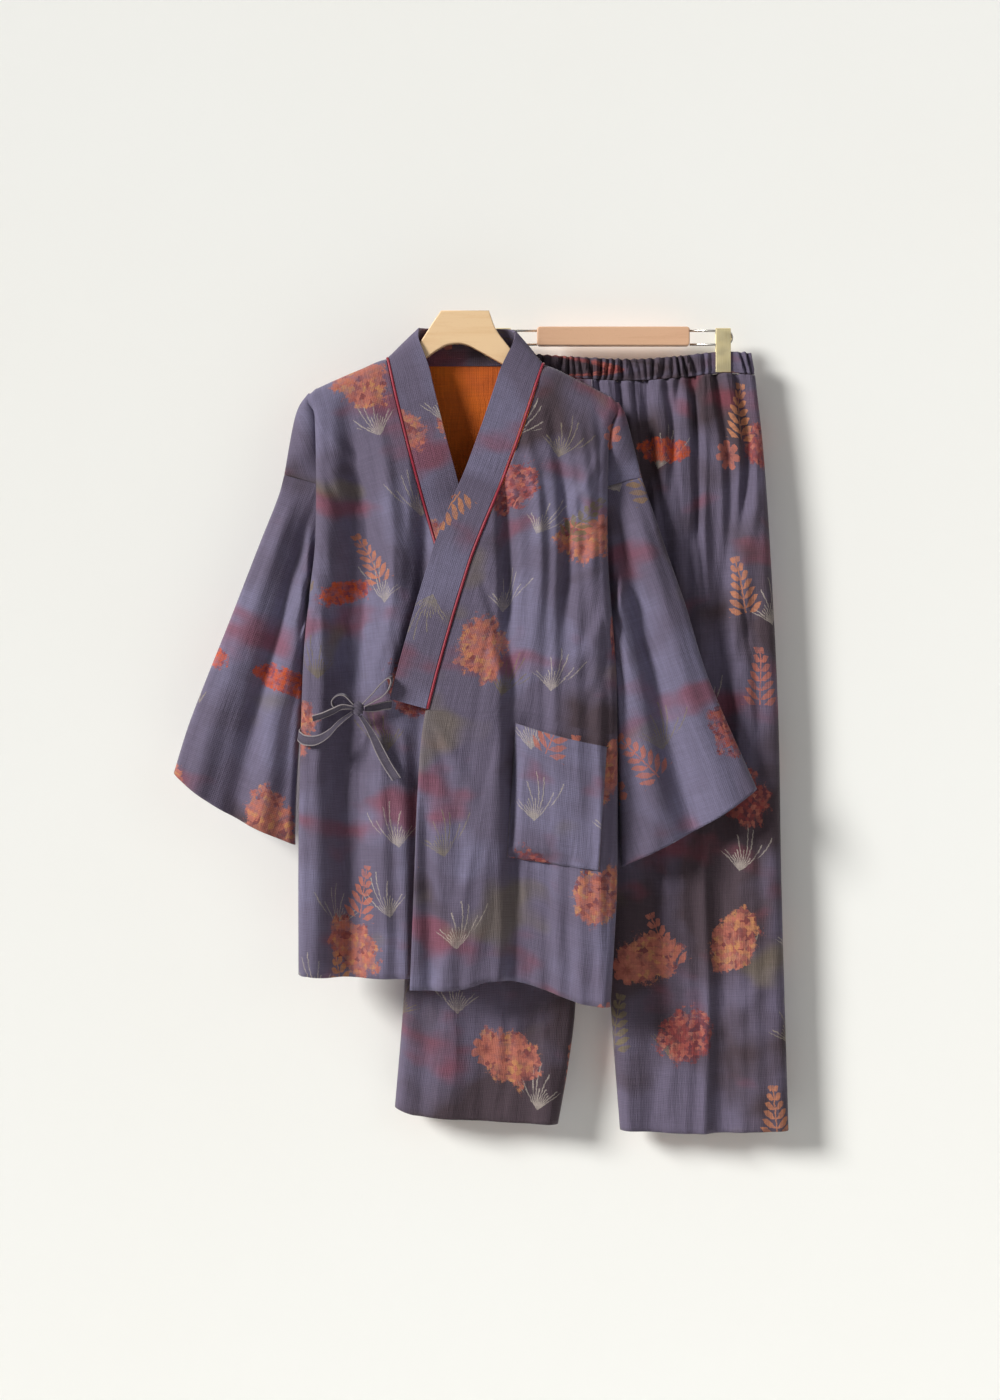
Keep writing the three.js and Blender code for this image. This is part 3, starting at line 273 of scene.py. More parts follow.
# The dropped shoulder's edge turns in sharply, so that its two walls don't meet before it.
EDGE_TURN = 9
UNDERARM = {"right": -345, "left": -352}
SLEEVE = {
    "right": {"outer_z": -577, "inner_x": -212, "inner_z": -667, "cuff_sag": 11},
    "left": {"outer_z": -597, "inner_x": 194, "inner_z": -695, "cuff_sag": 8},
}
SLEEVE_OUTER = {
    "right": {
        "z": (-205, -231, -289, -379, -464, -519, -577),
        "x": (-226, -233, -256, -291, -325, -346, -364),
    },
    "left": {
        "z": (-208, -241, -311, -365, -444, -501, -597),
        "x": (221, 232, 256, 275, 299, 322, 365),
    },
}
SLEEVE_RADIUS = 11
SLEEVE_DEPTH = {"front": 12.5, "back": 11}
SLEEVE_FOLD_COLUMNS = ("at", "half", "out")
SLEEVE_FOLDS = ((0.2, 0.16, 3), (0.48, 0.16, -4), (0.74, 0.18, 3))
NECKLINE = {
    "k": tuple(range(13)),
    "x": (99, 98.2, 95.2, 88, 70, 35, 0, -35, -70, -87, -94.3, -97.2, -98),
    "y": (0, 4, 8.5, 14.5, 18.5, 19.5, 19.5, 19.5, 18.5, 14.5, 8.5, 4, 0),
    "z": (-68.7, -68.7, -68.5, -67, -66, -66, -66, -66, -66, -65.5, -64, -62.3, -61.5),
    "free_x": (63, 61.5, 59, 53, 45, 28, 0, -27, -43, -50, -55, -56.5, -57),
    "free_y": (-2, 1.5, 5, 9.5, 12.5, 14.5, 14.5, 14.5, 12.5, 9.5, 5, 1.5, -2),
    "free_z": (-27, -25, -23.5, -21.5, -20.5, -20, -20, -20, -20, -20.5, -21, -21.7, -22.5),
}
BAND_END = {"left": -498, "right": -470}
BAND_WIDTH = 46
POCKET = {
    "top_inner": (63, -515),
    "top_outer": (176, -544),
    "bottom_inner": (53, -682),
    "bottom_outer": (165, -697),
    "mouth": 9,
}
TIE_HALF = 6
KNOT = {"middle": (-130.5, -43.5, -496.5), "half": (7, 5.5, 9)}
# Each ribbon's middle line and half width, and the direction of its width.
RIBBONS = {
    "tie_from_neckband": {
        "across": (0.1, -0.2, 1),
        "x": (-90, -100, -111, -122.8),
        "y": (-37.2, -38.5, -40, -41.6),
        "z": (-492, -493.5, -496, -497),
        "half": (5.5, 5.5, 5, 3.5),
    },
    "tie_from_side": {
        "across": (0.15, 0.1, 1),
        "x": (-204.7, -206.4, -204.5, -197, -183, -168, -154, -137.3),
        "y": (-12, -18, -26, -33.5, -37, -38.5, -40, -41.8),
        "z": (-527, -529, -532, -536, -536, -528, -514, -501.6),
        "half": (5.5, 6, 6.5, 6.5, 6.5, 6, 4.5, 2.5),
    },
    "tail_long": {
        "across": (1, -0.15, 0.35),
        "x": (-84, -95, -104, -112, -120, -128.3),
        "y": (-36, -36, -36.5, -37.5, -39.5, -42.6),
        "z": (-584, -567, -550, -533, -518, -505.6),
        "half": (6, 6, 6, 5, 3.5, 2.5),
    },
    "tail_short": {
        "across": (-0.1, -0.8, 0.8),
        "x": (-187, -175, -162, -150, -137),
        "y": (-46, -47.5, -49, -49, -48),
        "z": (-509, -505.5, -500, -494.5, -495.5),
        "half": (5, 5, 5, 4, 2.5),
    },
    "loop_left": {
        "across": (0.1, 1, 0.25),
        "x": (-136.5, -147, -156, -163, -162, -155, -147, -138.2),
        "y": (-43.1, -40.5, -40, -39.5, -39.5, -40, -40.5, -43.1),
        "z": (-491.9, -481, -480, -486, -493, -497, -496.5, -496.9),
        "half": (2.5, 4, 4.5, 4.5, 4.5, 4.5, 4, 2.5),
    },
    "loop_right": {
        "across": (0.2, 1, 0.25),
        "x": (-125.4, -112, -102, -93, -89.5, -92.5, -99, -110, -123.4),
        "y": (-45.9, -45.5, -45.5, -46, -46.5, -46.5, -46.5, -46, -45.6),
        "z": (-491, -477, -465.5, -458.5, -462, -472, -480, -487, -494.4),
        "half": (2.5, 4, 5, 5.5, 5.5, 5.5, 5, 4, 2.5),
    },
}
CENTRE_X = 159.5
CROTCH_Z = -385
LEG_OUTER = {
    "right": {"z": (-70, -300, -600, -840, -1010), "x": (-47, -66, -73, -77, -90)},
    "left": {"z": (-70, -170, -300, -507, -721, -1035), "x": (366, 377, 386, 396, 400, 409)},
}
LEG_INNER = {
    "right": {
        "z": (-70, -385, -460, -700, -878, -951, -1030),
        "x": (159.5, 159.5, 156, 148, 139, 130, 116),
    },
    "left": {
        "z": (-70, -385, -460, -700, -878, -1040),
        "x": (159.5, 159.5, 163, 175, 184, 196),
    },
}
LEG_HEM = {
    "right": {"x": (-92, -63, 25, 118), "z": (-1000, -1010, -1017.5, -1022)},
    "left": {"x": (190, 283, 410), "z": (-1029, -1033, -1030)},
}
LEG_DEPTH = {"z": (-75, -130, -220, -1040), "y": (7, 11, 13.5, 13.5)}
LEG_PLANE = 36.9
LEG_RADIUS = 14
PLEATS = 9
LEG_FOLDS = {
    "right": (
        (10, -30, 30, 3, -120, -1100),
        (70, 40, 30, -3, -160, -1100),
        (120, 84, 26, 2.5, -160, -1100),
    ),
    "left": (
        (226, 232, 24, -3, -120, -1100),
        (270, 296, 28, 3, -140, -700),
        (306, 330, 22, -3.5, -110, -760),
        (340, 368, 22, 3, -110, -1100),
    ),
}
LEG_FINE_FOLDS = {
    "right": (
        (16, 10, 34, -6, -600, -1100),
        (86, 82, 22, -5, -700, -1100),
        (-20, -60, 14, -2, -100, -1100),
        (40, 0, 14, 1.8, -140, -1100),
        (98, 62, 12, -1.6, -130, -1100),
        (136, 108, 12, 1.8, -200, -1100),
    ),
    "left": (
        (320, 322, 22, -6, -110, -720),
        (276, 290, 16, -4, -100, -560),
        (240, 244, 30, -5, -520, -1100),
        (352, 362, 26, -5, -640, -1100),
        (196, 206, 12, 1.8, -120, -1100),
        (246, 262, 13, 2.2, -100, -900),
        (288, 312, 10, -2, -100, -640),
        (322, 350, 11, 2.2, -100, -700),
        (352, 386, 12, -2.2, -110, -1100),
        (262, 268, 16, -2, -560, -1100),
        (300, 306, 16, 2, -620, -1100),
    ),
}
WAIST_TOP = {
    "x": (-45, 48, 130, 210, 276, 326, 366),
    "z": (-46, -47, -52, -55.5, -51, -45.5, -48),
}
WAISTBAND = {
    "left": 361,
    "right": -41,
    "height": 27,
    "depth": 5.5,
    "gathers": 82,
    "gather": 1.8,
    "flare": 8,
}
HANGER = {"thick": 12, "left": 182, "right": -186, "clearance": 5.3, "rounded": 1.6}
HANGER_TOP = {
    "left": {"x": (30, 38, 50, 62, 76, 90, 102), "z": (0, -22, -39, -53, -64, -73, -78)},
    "right": {
        "x": (-101, -88, -74, -62, -51, -41, -30),
        "z": (-71.5, -66, -56.5, -47, -32, -16, 0),
    },
}
HANGER_UNDER = {
    "x": (179, 100, 49, 33, 15, 3, -9, -23, -34, -50, -100, -183),
    "z": (-130.3, -96, -68, -59, -49, -43, -41, -43, -49, -60, -88, -120.3),
}
RAIL = {"x": 187, "length": 193}
RODS = {"upper": -19, "lower": -36.5, "reach": 150.5, "radius": 1.5}
CLIP = {"width": 19, "top": -15.6, "bottom": -72, "plate": 1.6, "grip": 2.4, "middle": 139}

CLOTH = 1.6
SEAM_GAP = 0.4
# How much deeper than their rows the finer folds and the creases are, for each kind of piece.
FINE_DEPTH = {"front": 1.4, "back": 1.3, "leg": 0.9}
CREASE_DEPTH = {"front": 1.6, "back": 1.3, "leg": 1.3}
# How far a fold wanders from its row, and how far under the shoulder it has come to that.
WANDER = {"jacket": 5, "leg": 6}
SETTLED = (60, 300)
# The back's finer folds stand out no further, because the trousers hang just behind it, and the
# legs' folds no further where they face the jacket.
BACK_PROUD = 0.4
LEG_PROUD = 3.4
# The gaps that the right front and the neckband keep behind the left front.
TUCK_GAP = {"front": 3.4, "neckband": 1.7}
# Heights at which the side folds, the fronts' edges and the legs' edges meet their hems.
SIDE_END = -830
EDGE_END = -840
LEG_TOP = -70
LEG_END = -1025
BAND_PROUD = 1
PIPING_RADIUS = 1.4
PIPING_SPACE = 4.3
SIDE_RADIUS = 12
SIDE_TURN = math.radians(140)
CORNER_U = 0.42
SLEEVE_GAP = 0.15
SIGN = {"right": -1, "left": 1}


# ------------------------------------------------------------------ reading the tables
def lerp(a, b, share):
    return a + (b - a) * share


def step(value, low, high):
    """0 below low, 1 above high, and smooth between them."""
    share = np.clip((value - low) / (high - low), 0, 1)
    return share * share * (3 - 2 * share)


def read(table, by, key, at):
    """The value of column key where column by is at: a smooth curve through the table's rows."""
    order = np.argsort(table[by])
    known = np.array(table[by], float)[order]
    values = np.array(table[key], float)[order]
    first = np.concatenate([[0], np.arange(len(known) - 1)])
    last = np.concatenate([np.arange(1, len(known)), [len(known) - 1]])
    slopes = (values[last] - values[first]) / (known[last] - known[first])
    at = np.clip(at, known[0], known[-1])
    i = np.clip(np.searchsorted(known, at, side="left") - 1, 0, len(known) - 2)
    span = known[i + 1] - known[i]
    u = (at - known[i]) / span
    return (
        (2 * u**3 - 3 * u**2 + 1) * values[i]
        + (u**3 - 2 * u**2 + u) * span * slopes[i]
        + (3 * u**2 - 2 * u**3) * values[i + 1]
        + (u**3 - u**2) * span * slopes[i + 1]
    )


def folds_at(rows, x, z):
    """The sum of soft folds at a place: a raised cosine across each, faded in at its top."""
    total = 0.0
    for row in rows:
        fold = dict(zip(FOLD_COLUMNS, row))
        down = np.clip((z - fold["start"]) / (fold["end"] - fold["start"]), 0, 1)
        middle = lerp(fold["top"], fold["hem"], down)
        off = np.minimum(np.abs(x - middle) / (fold["half"] * (0.75 + 0.35 * down)), 1)
        total = total + fold["out"] * 0.5 * (1 + np.cos(np.pi * off)) * step(down, 0, 0.3)
    return total


def creases_at(rows, x, z):
    """The sum of drag creases at a place: each swells along its line and dies at its ends."""
    total = 0.0
    for row in rows:
        crease = dict(zip(CREASE_COLUMNS, row))
        run, fall = crease["x1"] - crease["x0"], crease["z1"] - crease["z0"]
        along = ((x - crease["x0"]) * run + (z - crease["z0"]) * fall) / (run**2 + fall**2)
        along = np.clip(along, 0, 1)
        bow = 0.05 * math.hypot(run, fall) * np.sin(np.pi * along)
        off = np.hypot(x - crease["x0"] - along * run - bow, z - crease["z0"] - along * fall)
        off = np.minimum(off / (crease["half"] * (0.8 + 0.5 * along)), 1)
        swell = np.sin(np.pi * np.clip(0.06 + 0.94 * along, 0, 1)) ** 0.8
        total = total + crease["out"] * (0.5 + 0.5 * np.cos(np.pi * off)) ** 1.2 * swell
    return total


def rise(distance, radius):
    """How far a rounded edge has risen, 0 to 1, at a distance from the edge."""
    return np.sqrt(1 - (1 - np.clip(distance / radius, 0, 1)) ** 2)


def ripple(x, z, seed):
    """A slow uneven drift, about -1 to 1, that keeps a fold from running dead straight."""
    return (
        np.sin(x / 37 + z / 91 + seed)
        + np.sin(x / 61 - z / 53 + 2.3 * seed)
        + np.sin(-x / 23 + z / 140 + 4.1 * seed)
    ) / 3


def crinkle(x, z, seed):
    """Washed double gauze: short shallow ripples that run down the cloth, in millimetres."""
    drift = 2.5 * np.sin(z / 46 + seed) + 1.6 * np.sin(z / 19 + 1.7 * seed + x / 50)
    fine = np.sin((x + drift) / 1.9 + seed) * (0.5 + 0.5 * np.sin(z / 31 + x / 17 + seed))
    broad = np.sin((x + 2 * drift) / 4.3 + 2 * seed) * (0.5 + 0.5 * np.sin(z / 67 - x / 29))
    return 0.10 * fine + 0.22 * broad


# ------------------------------------------------------------------ the jacket's body
def shoulder_z(x):
    return read(SHOULDER_LINE, "x", "z", x)


def edge_x(side, z):
    return read(FRONT_EDGE[side], "z", "x", z)


def fold_x(side, z):
    return read(SIDE_FOLD[side], "z", "x", z)


def groove_x(side, z):
    return fold_x(side, z) - SIGN[side] * SIDE_RADIUS * (1 - math.sin(SIDE_TURN))


def wandering(x, z, drop, seed):
    """Where a fold's row is looked up: the place itself, moved by a slow drift."""
    return x + WANDER["jacket"] * ripple(x, z, seed) * step(drop, *SETTLED)


def front_y(side, x, z):
    drop = np.maximum(shoulder_z(x) - z, 0)
    bent = wandering(x, z, drop, len(side))
    sunk = folds_at(FOLDS[side], x, z) + FINE_DEPTH["front"] * folds_at(FINE_FOLDS[side], bent, z)
    fine = CREASE_DEPTH["front"] * creases_at(CREASES[side], bent, z) + crinkle(x, z, len(side))
    return -read(DEPTH[side], "drop", "y", drop) - sunk - fine * step(drop, 4, 60)


def tucked(x, y, z, gap):
    """How deep a place lies once it keeps a gap behind the left front, where that covers it."""
    covered = step(x - edge_x("left", z), -10, 2)
    return lerp(y, np.maximum(y, front_y("left", x, z) + gap), covered)


def back_y(x, z):
    drop = np.maximum(shoulder_z(x) - z, 0)
    bent = wandering(x, z, drop, 1.3)
    fine = FINE_DEPTH["back"] * folds_at(FINE_FOLDS["back"], bent, z)
    fine = fine + CREASE_DEPTH["back"] * creases_at(CREASES["back"], bent, z)
    fine = np.minimum(fine, BACK_PROUD)
    wrinkled = (crinkle(x, z, 1.3) - 0.3) * step(drop, 4, 60)
    return read(DEPTH["back"], "drop", "y", drop) + folds_at(FOLDS["back"], x, z) + fine + wrinkled


def armhole_edge(side, face, z):
    """Where a front (face -1) or the back (face 1) ends at a height: armhole or side seam."""
    groove_y = GROOVE["front"] if face < 0 else GROOVE["back"]
    opened = step(z, UNDERARM[side] - 2, UNDERARM[side] + 26)
    seam_y = GROOVE["seam"] + face * SEAM_GAP / 2
    return groove_x(side, z) + SIGN[side] * 4 * opened, lerp(seam_y, groove_y, opened)


def side_point(side, face, turn, z, flat_x, flat_y):
    """x and y of the jacket's side, from the flat part's end round the fold to the seam."""
    seam_gap = face * SEAM_GAP / 2
    gx = groove_x(side, z)
    gy = GROOVE["front"] if face < 0 else GROOVE["back"]
    turn_end = SIDE_TURN if face < 0 else math.pi / 2
    wrap = np.clip(turn * 2, 0, 1)
    past = np.clip(turn * 2 - 1, 0, 1)
    angle = wrap * turn_end
    share = (1 - np.cos(angle)) / (1 - math.cos(turn_end))
    reach = fold_x(side, z) if face < 0 else gx
    wrap_x = flat_x + (reach - flat_x) * np.sin(angle)
    wrap_y = lerp(flat_y, gy, share)
    dropped = np.clip((z - DROP_END[side]) / SEAM_STEP + 1, 0, 1)
    outline = read(DROP_OUTLINE[side], "z", "x", z)
    hole_x, hole_y = armhole_edge(side, face, z)
    seam_x = lerp(hole_x, outline, dropped)
    past_y = lerp(lerp(gy, hole_y, past), lerp(gy, seam_gap, past**EDGE_TURN), dropped)
    if face < 0:
        full = step(z - DROP_END[side], 0, 40)
        past_y = past_y - SHOULDER_FULLNESS * full * np.sin(np.pi * past**0.8)
    grooved_x = np.where(past > 0, lerp(gx, seam_x, past), wrap_x)
    grooved_y = np.where(past > 0, past_y, wrap_y)
    depth = step(SHOULDER_TOP[side] - z, 2, 34)
    turned = turn * np.pi / 2
    plain_x = flat_x + (outline - flat_x) * np.sin(turned)
    plain_y = lerp(flat_y, seam_gap, 1 - np.cos(turned))
    return lerp(plain_x, grooved_x, depth), lerp(plain_y, grooved_y, depth)


def side_hem(side):
    return read(HEM[side], "x", "z", fold_x(side, SIDE_END))


def body_rows(side):
    """The heights that the solids keep to, as shares of the way from the shoulder to the hem."""
    top, end, under = SHOULDER_TOP[side], DROP_END[side], UNDERARM[side]
    heights = [top, top - 3, top - 10, top - 24, top - 48, top - 76]
    heights += [end, end - SEAM_STEP, -255, -305, under + 12, under - 4]
    shares = [(z - top) / (side_hem(side) - top) for z in heights]
    front = FRONT_EDGE[side]["z"][0]
    band_end = (BAND_END[side] - front) / (read(HEM[side], "x", "z", 0) - front)
    return shares + [0.44, band_end - 0.0012, band_end + 0.0012, 0.66, 0.77, 0.88, 1]


ROWS = {side: body_rows(side) for side in SIGN}
LAST_ROW = len(ROWS["left"]) - 1
BAND_END_ROW = 13


def grid_rows(side, count):
    """Close rows of a cloth's grid, with each of the solids' rows among them."""
    shares = np.concatenate([[0.002, 0.004, 0.007], evenly(0.01, 1, count)])
    rows = np.interp(shares, ROWS[side], np.arange(LAST_ROW + 1))
    apart = [row for row in rows if abs(row - round(row)) > 0.08]
    return np.sort(np.concatenate([np.arange(LAST_ROW + 1.0), apart]))


def share_at(side, row):
    return np.interp(row, np.arange(LAST_ROW + 1), ROWS[side])


def side_of(side, face, turn, row, x, y, z):
    seam_z = lerp(SHOULDER_TOP[side], side_hem(side), share_at(side, row))
    px, py = side_point(side, face, turn, seam_z, x, y)
    return px, py, lerp(z, seam_z, step(turn, 0, 0.6))


def front_point(side, s, row):
    """A place on a front: s crosses its flat part from 0 to 1, and goes round the side to 2."""
    share = share_at(side, row)
    flat = np.minimum(s, 1)
    inset = SIGN[side] * SIDE_RADIUS
    edge_inset = SIGN[side] * PIPING_SPACE
    top_x = lerp(NECK[side] + edge_inset, TIP[side] - inset, flat)
    hem_x = lerp(edge_x(side, EDGE_END), fold_x(side, SIDE_END) - inset, flat)
    top_z = shoulder_z(top_x)
    start_x = lerp(edge_x(side, top_z) + edge_inset, fold_x(side, top_z) - inset, flat)
    off_line = (shoulder_z(start_x) - top_z) * (1 - share) ** 8
    z = lerp(top_z, read(HEM[side], "x", "z", hem_x), share) + off_line
    edge = edge_x(side, z) + edge_inset * (row <= BAND_END_ROW + 0.5)
    x = lerp(edge, fold_x(side, z) - inset, flat)
    hung = front_y(side, x, z)
    if side == "right":
        hung = tucked(x, hung, z, TUCK_GAP["front"])
    y = np.where(row <= 0, -SEAM_GAP / 2, np.minimum(hung, -SEAM_GAP / 2))
    sx, sy, sz = side_of(side, -1, np.maximum(s - 1, 0), row, x, y, z)
    return tuple(np.where(s > 1, *pair) for pair in ((sx, x), (sy, y), (sz, z)))


def back_x(z, across):
    """A place across the flat part of the back, 0 to 1, at a height."""
    return lerp(fold_x("right", z) + SIDE_RADIUS, fold_x("left", z) - SIDE_RADIUS, across)


def back_point(s, row):
    """A place on the back: s from -2 round the right side, across, and round the left to 2."""
    across = (np.clip(s, -1, 1) + 1) / 2
    share = lerp(share_at("right", row), share_at("left", row), across)
    top_x = lerp(TIP["right"] + SIDE_RADIUS, TIP["left"] - SIDE_RADIUS, across)
    hem_x = back_x(SIDE_END, across)
    at_neck = (top_x > NECKLINE["x"][-1] - 0.01) & (top_x < NECKLINE["x"][0] + 0.01)
    neck_y = np.maximum(read(NECKLINE, "x", "y", top_x), SEAM_GAP / 2)
    top_y = np.where(at_neck, neck_y, SEAM_GAP / 2)
    top_z = np.where(at_neck, read(NECKLINE, "x", "z", top_x), shoulder_z(top_x))
    start_x = back_x(top_z, across)
    off_line = np.where(at_neck, 0, shoulder_z(start_x) - top_z) * (1 - share) ** 8
    z = lerp(top_z, read(HEM["back"], "x", "z", hem_x), share) + off_line
    x = back_x(z, across)
    settled = np.where(at_neck, step(top_z - z, 0, 60), 1)
    hung = back_y(x, z)
    y = np.where(row <= 0, top_y, np.maximum(lerp(top_y, hung, settled), hung))
    turn = np.maximum(np.abs(s) - 1, 0)
    right = side_of("right", 1, turn, row, x, y, z)
    left = side_of("left", 1, turn, row, x, y, z)
    round_side = np.abs(s) > 1
    return tuple(
        np.where(round_side, np.where(s < 0, r, q), flat)
        for r, q, flat in zip(right, left, (x, y, z))
    )


# ------------------------------------------------------------------ sleeves, pocket, legs
def fold_share(face, u):
    total = 0.0
    for row in SLEEVE_FOLDS:
        fold = dict(zip(SLEEVE_FOLD_COLUMNS, row))
        at = np.where(face < 0, fold["at"], 1 - fold["at"])
        off = np.minimum(np.abs(u - at) / fold["half"], 1)
        total = total + fold["out"] * (1 + np.cos(np.pi * off))
    return total


def sleeve_point(side, around, t):
    """A place on a sleeve: around from the outer fold (0) over the front to the inner one (1)
    and back behind it (2), t from the armhole (0) to the cuff (1)."""
    out, size = SIGN[side], SLEEVE[side]
    face = np.where(around <= 1, -1.0, 1.0)
    u = np.where(around <= 1, around, 2 - around)
    start = DROP_END[side] - SLEEVE_GAP
    corner_z = start - SEAM_STEP
    under_z = UNDERARM[side] - 4

    def line(w):
        outer_z = lerp(start, size["outer_z"], w)
        inner_z = lerp(under_z, size["inner_z"], w)
        tucked = groove_x(side, inner_z) + out * lerp(SLEEVE_GAP, 2.6, step(w, 0, 0.1))
        inner_x = lerp(tucked, size["inner_x"], step(w, 0.3, 1))
        outer_x = read(SLEEVE_OUTER[side], "z", "x", outer_z)
        width = np.hypot(outer_x - inner_x, outer_z - inner_z)
        return lerp(outer_x, inner_x, u), lerp(outer_z, inner_z, u), width

    def armhole_at(z):
        front = armhole_edge(side, -1, z)
        back = armhole_edge(side, 1, z)
        away = SLEEVE_GAP + 0.5 * step(-z, -UNDERARM[side] - 50, -UNDERARM[side] - 12)
        return (
            np.where(face < 0, front[0], back[0]) + out * away,
            np.where(face < 0, front[1], back[1]),
        )

    corner = armhole_at(np.full_like(u, corner_z))
    down = np.clip((u - CORNER_U) / (1 - CORNER_U), 0, 1)
    across = np.minimum(u / CORNER_U, 1)
    outline = read(DROP_OUTLINE[side], "z", "x", start)
    hole_z = lerp(corner_z, under_z, down)
    hole = armhole_at(hole_z)
    over = u < CORNER_U
    joined_x = np.where(over, lerp(outline, corner[0], across), hole[0])
    joined_y = np.where(over, lerp(corner[1], 0, (1 - across) ** EDGE_TURN), hole[1])
    joined_z = np.where(over, lerp(start, corner_z, across), hole_z)
    straight, here = line(np.zeros_like(t)), line(t)
    fading = (1 - t) ** 1.6
    from_edge = np.minimum(u, 1 - u) * here[2]
    middle = lerp(GROOVE["seam"] * u, 0, t)
    depth = np.where(face < 0, SLEEVE_DEPTH["front"], SLEEVE_DEPTH["back"])
    strong = np.where(face < 0, 1.35, 0.7)
    full = depth + strong * (fold_share(face, u) + sleeve_creases(face, u, t, side))
    bulge = middle + face * full * rise(from_edge, SLEEVE_RADIUS)
    x = here[0] + (joined_x - straight[0]) * fading
    z = here[1] + (joined_z - straight[1]) * fading
    sag = size["cuff_sag"] * np.sin(np.pi * u**0.8) * t**3
    return x, lerp(joined_y, bulge, step(t, 0, 0.2)), z - sag


def sleeve_creases(face, u, t, side):
    """Creases that fan out from the underarm, and the gauze's own ripples."""
    seed = 1.7 if side == "left" else 0.4
    aside, below = (1 - u) * 1.1, t * 1.6 - 0.12
    reach = np.hypot(aside, below)
    fan = np.sin(np.arctan2(below, aside) * 11 + seed + 2 * reach)
    fan = fan * step(reach, 0.06, 0.25) * (1 - step(reach, 0.35, 1.1))
    drift = 0.05 * np.sin(5 * t + seed) + 0.03 * np.sin(11 * t + 3 * u)
    long_fold = np.sin((u + drift) * 21 + seed) * step(t, 0.15, 0.5)
    gauze = crinkle(150 * u, 400 * t, seed + face)
    return 1.9 * fan + 1.5 * long_fold * np.sin(np.pi * u) + gauze


def pocket_point(u, v):
    def place(k):
        top = lerp(POCKET["top_inner"][k], POCKET["top_outer"][k], u)
        return lerp(top, lerp(POCKET["bottom_inner"][k], POCKET["bottom_outer"][k], u), v)

    x, z = place(0), place(1)
    gaping = POCKET["mouth"] * np.sin(np.pi * u) ** 0.8 * (1 - v) ** 1.6
    gaping = gaping + 2.6 * step(u, 0.8, 1) * np.sin(np.pi * np.clip(v * 1.1, 0, 1))
    crease = 1.2 * np.sin(np.pi * u) * np.sin(8 * u + 5 * v) * v
    # It bridges the folds of the front that it is sewn to.
    under = front_y("left", x, z)
    flat = -read(DEPTH["left"], "drop", "y", np.maximum(shoulder_z(x) - z, 0))
    sewn = step(np.minimum(np.minimum(u, 1 - u), 1 - v), 0, 0.12)
    bridged = np.minimum(under, lerp(under, flat + 2, 0.75 * sewn))
    return x, bridged - 0.9 - CLOTH - gaping - crease, z - 2.5 * np.sin(np.pi * u) * (1 - v) ** 2


def waist_top(x):
    return read(WAIST_TOP, "x", "z", x)


def leg_point(side, face, u, t):
    """A place on a leg: u from the centre or inseam (0) to the outer fold (1), t from the
    waistband (0) to the hem (1)."""
    out = SIGN[side]
    top_x = lerp(CENTRE_X, read(LEG_OUTER[side], "z", "x", LEG_TOP), u)
    hem_x = lerp(*(read(line[side], "z", "x", LEG_END) for line in (LEG_INNER, LEG_OUTER)), u)
    top = waist_top(top_x) - WAISTBAND["height"] - 0.7
    z = lerp(top, read(LEG_HEM[side], "x", "z", hem_x), t)
    inner_line = read(LEG_INNER[side], "z", "x", z)
    spread = np.maximum(out * (inner_line - CENTRE_X), 0)
    inner = CENTRE_X + out * (spread + SEAM_GAP / 2)
    outer = read(LEG_OUTER[side], "z", "x", z)
    width = np.abs(outer - inner)
    x = lerp(inner, outer, u)
    body = step(z, CROTCH_Z, CROTCH_Z + 65)
    inner_rise = lerp(rise(u * width, LEG_RADIUS), 1, body)
    outer_rise = rise((1 - u) * width, LEG_RADIUS)
    seed = 2 * SIGN[side] + face
    drift = 0.035 * np.sin(7 * u + z / 60 + seed) + 0.02 * np.sin(19 * u + seed)
    # Soft ridges with narrow, deep troughs between them, which die out down the thigh.
    wave = np.cos(2 * np.pi * PLEATS * (u + drift))
    pleat = 1.4 * wave - 3.2 * np.clip(-wave, 0, 1) ** 2
    reach = -330 - 110 * np.sin(31 * u + seed) - 60 * np.sin(13 * u + 2 * seed)
    pleats = pleat * step(z, reach - 110, reach + 170) * (0.8 + 0.3 * np.sin(23 * u + seed))
    gathers = 0.9 * np.cos(2 * np.pi * 27 * (u + drift)) * step(z, -140, -78)
    seen_x = x if face < 0 else inner_line + outer - x
    bent = seen_x + WANDER["leg"] * ripple(seen_x, z, seed)
    folded = folds_at(LEG_FOLDS[side], seen_x, z)
    folded = folded + FINE_DEPTH["leg"] * folds_at(LEG_FINE_FOLDS[side], bent, z)
    folded = folded + CREASE_DEPTH["leg"] * creases_at(LEG_CREASES[side], bent, z)
    wrinkled = crinkle(seen_x, z, seed) + 0.7 * ripple(2.2 * seen_x, 1.4 * z, seed + 1)
    edges = np.minimum(inner_rise, outer_rise)
    sunk = (pleats + gathers + folded + wrinkled) * edges**2
    proud = LEG_PROUD if face < 0 else np.inf
    full = read(LEG_DEPTH, "z", "y", z) + np.minimum(sunk, proud)
    y = LEG_PLANE + face * (full * edges + (SEAM_GAP / 2) * (1 - edges))
    return x, y, z


CLIP_PLACES = (RAIL["x"] - CLIP["middle"], RAIL["x"] + CLIP["middle"])


